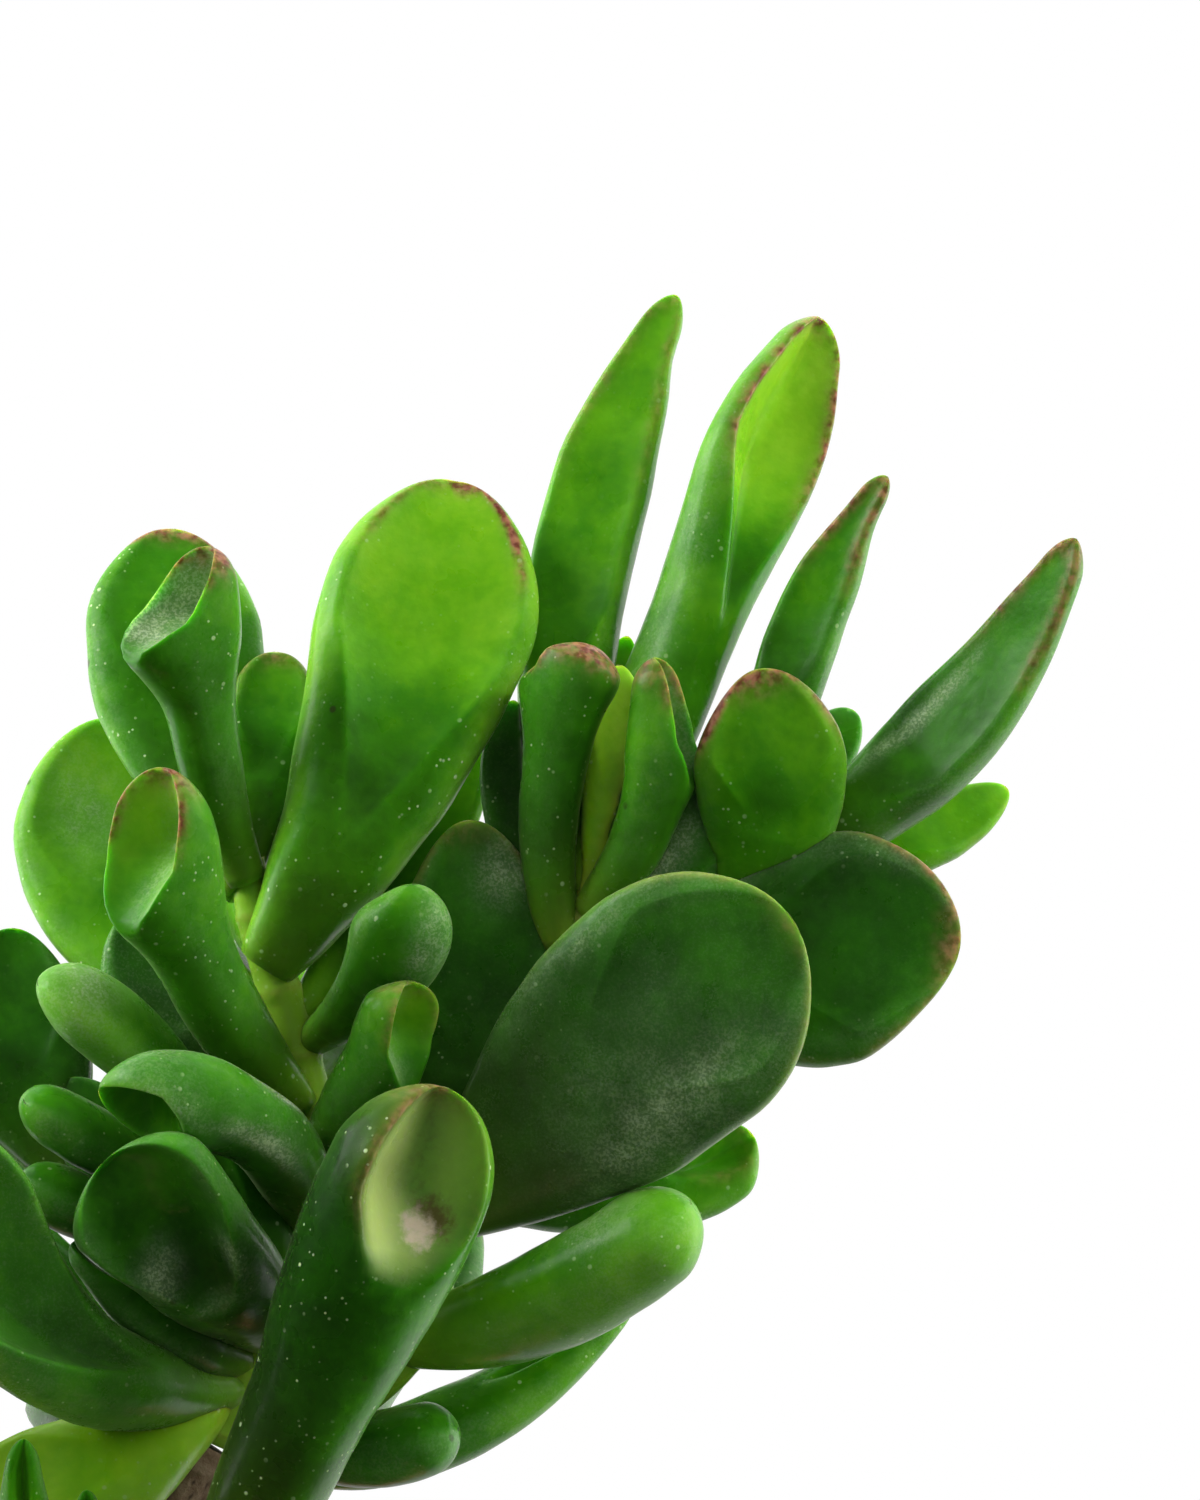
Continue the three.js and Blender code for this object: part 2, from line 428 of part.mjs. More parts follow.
function ruledLeaves({ path, pairs, first, turn, lowest, highest, open, closed, seed, omit }) {
  const curve = new THREE.CatmullRomCurve3(path.map(vec), false, "catmullrom", 0.5);
  const roll = dice(seed);
  for (let i = 0; i < 5; i += 1) {
    roll();
  }
  const leaves = [];
  for (let k = 0; k < pairs; k += 1) {
    const share = k / (pairs - 1);
    const t = first + (0.99 - first) * share;
    const at = curve.getPoint(t);
    const along = curve.getTangent(t).normalize();
    const side = new THREE.Vector3(0, 1, 0);
    side.addScaledVector(along, -side.dot(along)).normalize();
    const across = new THREE.Vector3().crossVectors(side, along);
    for (let half = 0; half < 2; half += 1) {
      const angle = turn + (k * Math.PI) / 2 + half * Math.PI + (roll() - 0.5) * 0.5;
      const lean = open + (closed - open) * share + (roll() - 0.5) * 0.25;
      const length = (lowest + (highest - lowest) * share) * (0.9 + 0.25 * roll());
      const form = RULED_ORDER[Math.floor(roll() * RULED_ORDER.length)];
      const out = across.clone().multiplyScalar(Math.cos(angle)).addScaledVector(side, Math.sin(angle));
      const reach = (amount, slant) => at.clone()
        .addScaledVector(out, length * amount * Math.sin(slant))
        .addScaledVector(along, length * amount * Math.cos(slant));
      const face = along.clone().multiplyScalar(Math.sin(lean)).addScaledVector(out, -Math.cos(lean));
      const root = at.clone().addScaledVector(out, 0.8);
      leaves.push([form, root.toArray(), reach(0.5, lean + 0.25).toArray(), reach(1, lean).toArray(),
        face.toArray(), RULED_SIZES[form][0], RULED_SIZES[form][1]]);
    }
  }
  return leaves.filter((leaf, index) => !omit.includes(index));
}

// The space that the woody branches take up, with the clearance round them.
function branchSpace() {
  const grown = TRUNK_BRANCHES.map(({ path, radii }) => {
    const end = vec(path[path.length - 1]);
    const way = end.clone().sub(vec(path[path.length - 2])).normalize();
    const last = end.addScaledVector(way, GAP).toArray();
    const grownRadii = radii.map((r) => r * 1.06 + GAP);
    return stemBody({ path: [...path.slice(0, -1), last], radii: grownRadii }, TRUNK_SIDES);
  });
  return fuse(grown);
}

// One leafy shoot in one piece, cut clear of the branch that it stands on.
function shoot(stems, leaves) {
  const whole = fuse([...stems.map((stem) => stemBody(stem)), ...leaves.map(leafBody)]);
  const pieces = whole.subtract(branchSpace()).decompose();
  return pieces.reduce((best, piece) => (piece.volume() > best.volume() ? piece : best));
}

// ---- pot, soil, trunk -----------------------------------------------------------------------------

// A round body turned about the Z axis from [radius, height] points, bottom to top to bottom again.
function turned(profile, sides) {
  const outline = profile.map(([r, z]) => new THREE.Vector2(r, z));
  const lathe = new THREE.LatheGeometry(outline, sides);
  lathe.rotateX(Math.PI / 2);
  const position = lathe.getAttribute("position");
  const keys = new Map();
  const points = [];
  const of = (i) => {
    const p = [position.getX(i), position.getY(i), position.getZ(i)];
    const key = p.map((v) => Math.round(v * 1000)).join(",");
    if (!keys.has(key)) {
      keys.set(key, points.length / 3);
      points.push(...p);
    }
    return keys.get(key);
  };
  const faces = [];
  const index = lathe.getIndex();
  for (let i = 0; i < index.count; i += 3) {
    const [a, b, c] = [of(index.getX(i)), of(index.getX(i + 1)), of(index.getX(i + 2))];
    if (a !== b && b !== c && a !== c) {
      faces.push(a, b, c);
    }
  }
  const positions = new Float32Array(points);
  const triangles = new Uint32Array(faces);
  return new wasm.Manifold(new wasm.Mesh({ numProp: 3, vertProperties: positions, triVerts: triangles }));
}

// The radius of the pot's inside at a height.
function innerRadius(z) {
  const foot = POT_FOOT_RADIUS - POT_WALL + 2;
  const top = POT_RIM_RADIUS - POT_WALL * 2 + 2;
  return foot + (top - foot) * (z / POT_HEIGHT);
}

function potBody() {
  const shoulder = POT_HEIGHT - POT_RIM_HEIGHT;
  const wallTop = innerRadius(shoulder) + POT_WALL;
  const profile = [
    [0, 0], [POT_FOOT_RADIUS - 1.2, 0], [POT_FOOT_RADIUS, 1.2],
    [wallTop, shoulder - 0.6], [POT_RIM_RADIUS - 2.2, shoulder], [POT_RIM_RADIUS - 1.4, shoulder + 1],
    [POT_RIM_RADIUS, POT_HEIGHT - 1.8], [POT_RIM_RADIUS - 1.6, POT_HEIGHT],
    [innerRadius(POT_HEIGHT) + 1.4, POT_HEIGHT], [innerRadius(POT_HEIGHT), POT_HEIGHT - 1.6],
    [innerRadius(POT_FLOOR + 2), POT_FLOOR + 2], [innerRadius(POT_FLOOR) - 2, POT_FLOOR], [0, POT_FLOOR],
  ];
  let pot = turned(profile, POT_SIDES);
  for (let i = 0; i < DRAIN_HOLES; i += 1) {
    const angle = (i / DRAIN_HOLES) * 2 * Math.PI + 0.4;
    const top = POT_FLOOR + 1;
    const hole = turned([[0, -1], [DRAIN_RADIUS, -1], [DRAIN_RADIUS, top], [0, top]], 12);
    const at = [DRAIN_CIRCLE * Math.cos(angle), DRAIN_CIRCLE * Math.sin(angle), 0];
    pot = pot.subtract(hole.translate(at));
  }
  return pot;
}

// The height of the soil's slightly uneven top.
function soilHeight(x, y) {
  const broad = Math.sin(0.21 * x + 0.8) * Math.cos(0.17 * y);
  const small = 0.6 * Math.sin(0.33 * y - 0.2 * x);
  return SOIL_TOP + SOIL_BUMP * (broad + small);
}

function soilBody() {
  const rings = [];
  const outer = innerRadius(SOIL_TOP) - GAP - 0.2;
  const ringAt = (radius, height) => {
    const ring = [];
    for (let j = 0; j < POT_SIDES; j += 1) {
      const angle = (j / POT_SIDES) * 2 * Math.PI;
      const x = radius * Math.cos(angle);
      const y = radius * Math.sin(angle);
      ring.push(new THREE.Vector3(x, y, height === null ? soilHeight(x, y) : height));
    }
    return ring;
  };
  rings.push(ringAt(innerRadius(POT_FLOOR) - 2 - GAP, POT_FLOOR + GAP));
  rings.push(ringAt(innerRadius(POT_FLOOR + 2) - GAP, POT_FLOOR + 2 + GAP));
  for (let i = 0; i < SOIL_RINGS; i += 1) {
    rings.push(ringAt(outer * (1 - i / SOIL_RINGS), null));
  }
  const hole = turned([[0, TRUNK_FOOT - GAP], [TRUNK_RADIUS + GAP, TRUNK_FOOT - GAP],
    [TRUNK_RADIUS + GAP, SOIL_TOP + 8], [0, SOIL_TOP + 8]], 24);
  return skin(rings).subtract(hole);
}

function trunkBody() {
  const foot = turned([[0, TRUNK_FOOT], [TRUNK_RADIUS - 1.5, TRUNK_FOOT], [TRUNK_RADIUS, TRUNK_FOOT + 4],
    [TRUNK_RADIUS, SOIL_TOP + 1.5], [TRUNK_RADIUS - 1.2, SOIL_TOP + 5], [0, SOIL_TOP + 6]], TRUNK_SIDES);
  return fuse([foot, ...TRUNK_BRANCHES.map((branch) => stemBody(branch, TRUNK_SIDES, 0.05))]);
}

// ---- the object -----------------------------------------------------------------------------------

function toMesh(name, body, colour, roughness) {
  const { vertProperties, triVerts, numProp } = body.getMesh();
  const positions = new Float32Array((vertProperties.length / numProp) * 3);
  for (let i = 0; i < positions.length / 3; i += 1) {
    for (let k = 0; k < 3; k += 1) {
      positions[i * 3 + k] = vertProperties[i * numProp + k];
    }
  }
  const geometry = new THREE.BufferGeometry();
  geometry.setAttribute("position", new THREE.BufferAttribute(positions, 3));
  geometry.setIndex(Array.from(triVerts));
  geometry.computeVertexNormals();
  const mesh = new THREE.Mesh(geometry, new THREE.MeshStandardMaterial({ color: colour, roughness }));
  mesh.name = name;
  return mesh;
}

const LEAF_COLOURS = {
  front_shoot: 0x3f8a22,
  right_shoot: 0x357c20,
  low_shoot: 0x2f6a24,
  left_shoot: 0x39801f,
  back_shoot: 0x35761f,
  left_back_shoot: 0x3b7f24,
};
const LEAF_ROUGHNESS = 0.35;

const plant = new THREE.Group();
plant.name = "trumpet_jade";
plant.add(toMesh("pot", potBody(), 0xb5623e, 0.85));
plant.add(toMesh("soil", soilBody(), 0x3a2a1e, 0.95));
plant.add(toMesh("trunk", trunkBody(), 0x6b5237, 0.8));
plant.add(toMesh("front_shoot", shoot(FRONT_STEMS, FRONT_LEAVES), LEAF_COLOURS.front_shoot, LEAF_ROUGHNESS));
plant.add(toMesh("right_shoot", shoot(RIGHT_STEMS, RIGHT_LEAVES), LEAF_COLOURS.right_shoot, LEAF_ROUGHNESS));
plant.add(toMesh("low_shoot", shoot(LOW_STEMS, LOW_LEAVES), LEAF_COLOURS.low_shoot, LEAF_ROUGHNESS));
for (const [name, rule] of Object.entries(RULED_SHOOTS)) {
  plant.add(toMesh(name, shoot([rule], ruledLeaves(rule)), LEAF_COLOURS[name], LEAF_ROUGHNESS));
}

export default plant;
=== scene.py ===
"""A trumpet jade (Crassula ovata with finger and trumpet leaves) in a plain terracotta pot.

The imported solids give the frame. Each leafy shoot, the trunk, the soil and the pot is replaced by
finer pieces of the same form. Lengths are in millimetres in the part's own frame (+Z up, -Y the
plant's front) up to where MM turns them into metres. Only the studio is in metres throughout.
"""

import math
from types import SimpleNamespace

import bmesh
import bpy
import numpy as np
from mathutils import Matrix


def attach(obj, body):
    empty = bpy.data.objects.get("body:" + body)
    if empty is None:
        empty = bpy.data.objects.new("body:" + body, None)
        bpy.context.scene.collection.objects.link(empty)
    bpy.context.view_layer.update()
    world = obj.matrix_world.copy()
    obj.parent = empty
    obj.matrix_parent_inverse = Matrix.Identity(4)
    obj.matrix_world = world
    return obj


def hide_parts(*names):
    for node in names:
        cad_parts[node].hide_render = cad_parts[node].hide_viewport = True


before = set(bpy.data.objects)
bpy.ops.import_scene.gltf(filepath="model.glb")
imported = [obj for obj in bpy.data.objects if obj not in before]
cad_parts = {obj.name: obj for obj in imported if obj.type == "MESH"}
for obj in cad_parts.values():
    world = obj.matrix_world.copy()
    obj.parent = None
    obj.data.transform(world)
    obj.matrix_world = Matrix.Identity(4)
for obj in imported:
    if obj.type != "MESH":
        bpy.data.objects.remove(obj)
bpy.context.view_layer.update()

MM = 0.001
FULL_TURN = 2 * math.pi

# ---- leaf forms ----

# Each form gives, along the leaf from root (0) to tip (1):
#   width, depth: shares of the leaf's own half-width and half-depth
#   end: where the tip starts to round off, box: 1 for an oval section, less for a squarer one
#   start: where the mouth opens on the upper face, mouth: its widest share of the leaf's width
#   near: how sharply the mouth opens, full: how far along it reaches full width
#   hollow: how deep it is, vee: 1 for a V-shaped channel, 0 for a rounded bowl
FORMS = {
    "spoon": dict(
        width=[(0, 0.28), (0.2, 0.52), (0.5, 0.84), (0.78, 1), (1, 0.86)],
        depth=[(0, 0.5), (0.2, 1), (0.5, 0.92), (0.8, 0.62), (1, 0.42)],
        end=0.8, box=0.85, start=0.28, mouth=0.86, near=0.75, full=0.55, hollow=0.95, vee=0.25),
    "paddle": dict(
        width=[(0, 0.26), (0.2, 0.55), (0.42, 0.92), (0.6, 1), (0.8, 0.94), (1, 0.8)],
        depth=[(0, 0.9), (0.2, 1), (0.5, 0.92), (0.8, 0.74), (1, 0.55)],
        end=0.66, box=0.8, start=0.4, mouth=0.8, near=0.6, full=0.5, hollow=0.2, vee=0),
    "finger": dict(
        width=[(0, 0.56), (0.25, 0.93), (0.5, 1), (0.65, 0.87), (0.8, 0.64), (1, 0.34)],
        depth=[(0, 0.6), (0.25, 0.95), (0.5, 1), (0.8, 0.62), (1, 0.34)],
        end=0.93, box=0.95, start=0.62, mouth=0.55, near=0.9, full=0.7, hollow=0.55, vee=0.8),
    "trumpet": dict(
        width=[(0, 0.5), (0.25, 0.78), (0.55, 0.86), (0.82, 1), (1, 0.9)],
        depth=[(0, 0.5), (0.25, 0.8), (0.55, 0.9), (0.8, 1), (1, 0.6)],
        end=0.84, box=0.95, start=0.66, mouth=0.84, near=0.5, full=0.5, hollow=0.85, vee=0.1),
    "bean": dict(
        width=[(0, 0.4), (0.2, 0.75), (0.5, 1), (0.8, 1), (1, 0.88)],
        depth=[(0, 0.5), (0.2, 0.85), (0.5, 1), (0.8, 0.95), (1, 0.8)],
        end=0.7, box=0.95, start=0.985, mouth=0.2, near=1, full=1, hollow=0, vee=0),
}

# What a leaf has where neither its form nor its own row says anything else.
USUAL = dict(
    lip=0,  # how much further the upper side stands out where the mouth opens
    round=None,  # how widely the mouth's edge is rounded, in mm
    tone=0.4,  # 0 deep green to 1 lime: partly the leaf's own colour, partly painted light, higher for thin leaves lit through from behind and lower for leaves in shade
    light=0.14,  # tone added towards the tip and lost at the foot: partly the leaf's own paler tip, partly painted shade low on the leaf
    cup=0,  # painted light: tone added inside the mouth, as if light shone through its thin wall
    deep=0.12,  # painted shade: tone lost in the throat of the mouth
    side=0,  # painted light and shade: tone added on the lit side of the leaf and lost on the shaded one
    flank=0.06,  # painted light: tone added along the flanks, outside the mouth, where they catch the side light
    olive=0,  # how olive the inside of the mouth is
    pale=0.35,  # how yellow-green the foot is
    brown=0, brown_from=0.62, rim_width=0.85,  # the reddish rim, where it starts and how wide it is
    rim_side=0,  # the side that keeps the whole rim: 1 or -1, or less to leave part of it on the other
    margin=0, margin_from=0.3, margin_width=0.55,  # a bright line round the edge
    bloom=0.02,  # whitish speckle
    dots=0.6,  # pale pores and dark specks
    wax=0.35,  # white film along the flanks: partly wax bloom, partly painted sheen where they catch light
    frost=(),  # patches of white film, most of them painted highlights and some the leaf's dusty bloom: place along, across in mm, radius, stretch and amount of each
    film=(0, 0),  # how much of the white film and painted highlight is inside the mouth, and the side that it keeps to
    torn=0,  # a pale dry strip along one edge
    scar=None,  # place along, across in mm and radius of a healed spot, with a stain and a crease
)


def leaf(form, root, middle, tip, face, half_width, half_depth, **own):
    """A leaf: its form, three points of its centre line, the way that its upper face looks, its
    half-width and half-depth, and its own values."""
    line = {"root": root, "middle": middle, "tip": tip, "face": face}
    line = {name: np.array(point, float) for name, point in line.items()}
    values = {**USUAL, **FORMS[form], **own, **line}
    return SimpleNamespace(form=form, half_width=half_width, half_depth=half_depth, **values)


# ---- the leaves and stems, shoot by shoot ----

FRONT_LEAVES = [
    # crown: broad spoon, back paddle, ear trumpet, small paddle
    leaf("spoon", (26.8, -0.5, 153.5), (38.9, -1, 176.7), (45.5, 7, 202.1), (0.1, -1, 0.15), 11, 6,
         tone=0.36, cup=0.28, brown=1.5, deep=0.34, dots=1, rim_side=-0.7, rim_width=0.6, brown_from=0.78,
         flank=0.26, wax=0.25, hollow=0.32, vee=0.1, round=0.7, mouth=0.82,
         width=[(0, 0.28), (0.2, 0.52), (0.5, 0.84), (0.74, 1), (0.87, 0.9), (1, 0.78)]),
    leaf("paddle", (24.8, 0.8, 161), (17.9, 8, 180.8), (17.3, 16, 197.4), (0.05, -1, 0.25), 9, 3,
         tone=0.35, brown=1.3, dots=1, brown_from=0.9, flank=0.12),
    leaf("trumpet", (24.8, -1, 162), (20.5, -5, 178), (21.5, -9, 195.1), (-0.72, -0.64, 0.3), 4.2, 3.7,
         tone=0.27, cup=0.2, brown=1.1, brown_from=0.86, film=(1.9, 0), wax=0.15, start=0.72, lip=1.5,
         end=0.92, mouth=0.88, near=0.35, hollow=0.8, full=0.35,
         width=[(0, 0.5), (0.25, 0.66), (0.55, 0.82), (0.72, 1), (0.85, 0.96), (1, 0.7)]),
    leaf("paddle", (25, 0.8, 162.5), (26.6, 4, 174.5), (27.4, 8, 184.9), (0, -1, 0.2), 4.4, 2.2,
         tone=0.36, brown=0.7, end=0.8),
    # below the crown: leaning trumpet, wide paddles behind it
    leaf("trumpet", (29.8, -1, 139.3), (19.9, -9, 155), (17, -15, 173.2), (-0.66, -0.75, 0.1), 5.3, 4.6,
         tone=0.35, cup=0.38, brown=1.1, pale=0.5, light=0.1, film=(1.3, -1), wax=0.15, brown_from=0.75,
         lip=0.9, mouth=0.86, near=0.35, full=0.35, end=0.88,
         width=[(0, 0.46), (0.25, 0.66), (0.5, 0.76), (0.66, 0.9), (0.8, 1), (1, 0.85)]),
    leaf("paddle", (28.4, 0.8, 147.5), (11.2, 12, 160.5), (11.2, 19, 178), (0.1, -1, 0.2), 8.6, 3,
         tone=0.52, dots=0.8, frost=[(0.75, 1.5, 3, 2, 0.9)]),
    leaf("paddle", (29.3, 1, 147.5), (39.5, 7, 162.5), (47.4, 11, 177.7), (0, -1, 0.2), 5, 2.6, tone=0.5),
    # right of the stem: finger and small trumpet
    leaf("bean", (30.4, 0.4, 145.5), (38.6, -6.5, 153.2), (41.3, -11.5, 161.6), (0.2, -1, 0.2), 5.1, 3.8,
         tone=0.3, wax=0.5, frost=[(0.8, -2.4, 1.8, 2.4, 1.3)], end=0.66,
         width=[(0, 0.3), (0.3, 0.62), (0.6, 0.95), (0.8, 1), (1, 0.88)]),
    leaf("trumpet", (31.2, -0.8, 134), (37.6, -9, 143.3), (41.2, -13.5, 152), (0.8, -0.58, 0.1), 4.5, 3.9,
         tone=0.3, cup=0.3, brown=0.5, film=(1.1, 1), wax=0.15, start=0.54, full=0.35, near=0.35,
         mouth=0.88, lip=0.4),
    # left of the stem: hooked trumpet, round cup, grooved spoon and the leaves between them
    leaf("trumpet", (30.2, -1, 127), (25.6, -13, 138), (10.6, -18, 141.4), (-0.3, -0.55, -0.75), 5, 4.4,
         tone=0.28, cup=0.12, deep=0, wax=0.1, margin=0.3,
         frost=[(0.52, -2.9, 0.7, 7, 3), (0.85, -3.5, 1.2, 3, 0.8)], start=0.76, near=0.35, full=0.4,
         lip=0.3),
    leaf("trumpet", (25.6, -1, 117.6), (20.5, -15, 124.8), (11.4, -21, 134.7), (-0.3, -1, 0.1), 8.2, 5.5,
         tone=0.22, cup=-0.05,
         frost=[(0.59, 3.5, 1.7, 1.2, 1.5), (0.5, -4, 0.7, 4, 1.1), (0.42, 0, 3, 0.25, 0.9)], start=0.4),
    leaf("spoon", (22.8, -1, 111), (4.9, -17, 117.1), (-4.6, -24, 138.8), (0.35, -0.9, 0.45), 7.8, 5,
         tone=0.38, bloom=0.35),
    leaf("bean", (20.6, 0, 137), (12.7, -5, 146.4), (4.2, -9, 152), (0.1, -0.6, 0.8), 4.4, 3.7, tone=0.48,
         frost=[(0.8, 0, 3.5, 1, 1.6)], bloom=0.2),
    leaf("paddle", (21, 0.6, 136), (16.6, 2.5, 149), (12.6, 3, 158.6), (0, -0.8, 0.6), 5.4, 2.6, tone=0.2,
         bloom=0.8),
    leaf("bean", (21, -1, 130), (9.7, -8, 136.3), (3.1, -13, 140.3), (0, -0.6, 0.8), 3.6, 3, tone=0.3),
    leaf("bean", (23.6, -1.2, 125.2), (10, -9, 129.2), (3.3, -14, 133), (0, -0.6, 0.8), 3.6, 3,
         tone=0.26),
    leaf("paddle", (9.4, 4.4, 129.6), (2, 8, 143), (1.2, 11, 157), (0, -1, 0.2), 7.2, 3, tone=0.2),
    leaf("finger", (24.2, -1.2, 114.2), (16.1, -9, 119.1), (7.7, -12, 126.2), (0.2, -0.8, 0.5), 3.8, 3,
         tone=0.2),
    leaf("paddle", (21.6, 0, 128), (13, 3, 133), (6.5, 5, 142), (0, -1, 0.2), 5, 2.6, tone=0.15),
    leaf("finger", (26.8, -1, 119.6), (24.5, -5, 128), (19.6, -7, 136.5), (0.2, -0.9, 0.2), 4.6, 3.2,
         tone=0.2),
    leaf("paddle", (22.4, -1.2, 111), (9.6, -8, 103), (-5, -10, 101.3), (0.1, -0.8, 0.6), 7, 3, tone=0.8,
         pale=0.5),
    # the far side of the stem
    leaf("trumpet", (30.8, 1, 141), (34, 14, 147), (35, 26, 158), (0, -0.7, 0.7), 4.6, 4.4, tone=0.4,
         cup=0.2, brown=0.6),
    leaf("spoon", (26.6, 1, 155), (25, 14, 165), (24, 24, 179), (0, -0.9, 0.4), 6.5, 4.2, tone=0.42,
         cup=0.2, brown=0.6),
    leaf("finger", (31.2, 1, 132), (28, 11, 137), (25, 19, 145), (0, -0.6, 0.8), 4, 3.4, tone=0.3,
         brown=0.4),
    leaf("paddle", (28, 1, 149), (18, 13, 153), (10, 24, 162), (0.3, -0.8, 0.5), 6.4, 2.8, tone=0.38,
         brown=0.4),
    leaf("trumpet", (29.6, 1, 126.5), (33, 13, 127), (34, 23, 133), (-0.4, -0.6, 0.8), 4.4, 4.2,
         tone=0.35, cup=0.15, brown=0.5),
]
FRONT_STEMS = [
    [[[20.2, 0, 106.3], [23.5, 0, 113], [27.5, 0, 122], [31.8, 0, 133], [30.5, 0, 141],
      [28.8, 0, 148], [26, 0, 157], [24.6, 0, 164]], [3.3, 1.8]],
    [[[27, 0, 121], [22, -1, 128], [20.4, 0, 138]], [2.4, 1.8]],
    [[[22, -1, 128], [14, 3, 127], [8.6, 5, 131]], [2.2, 1.8]],
]

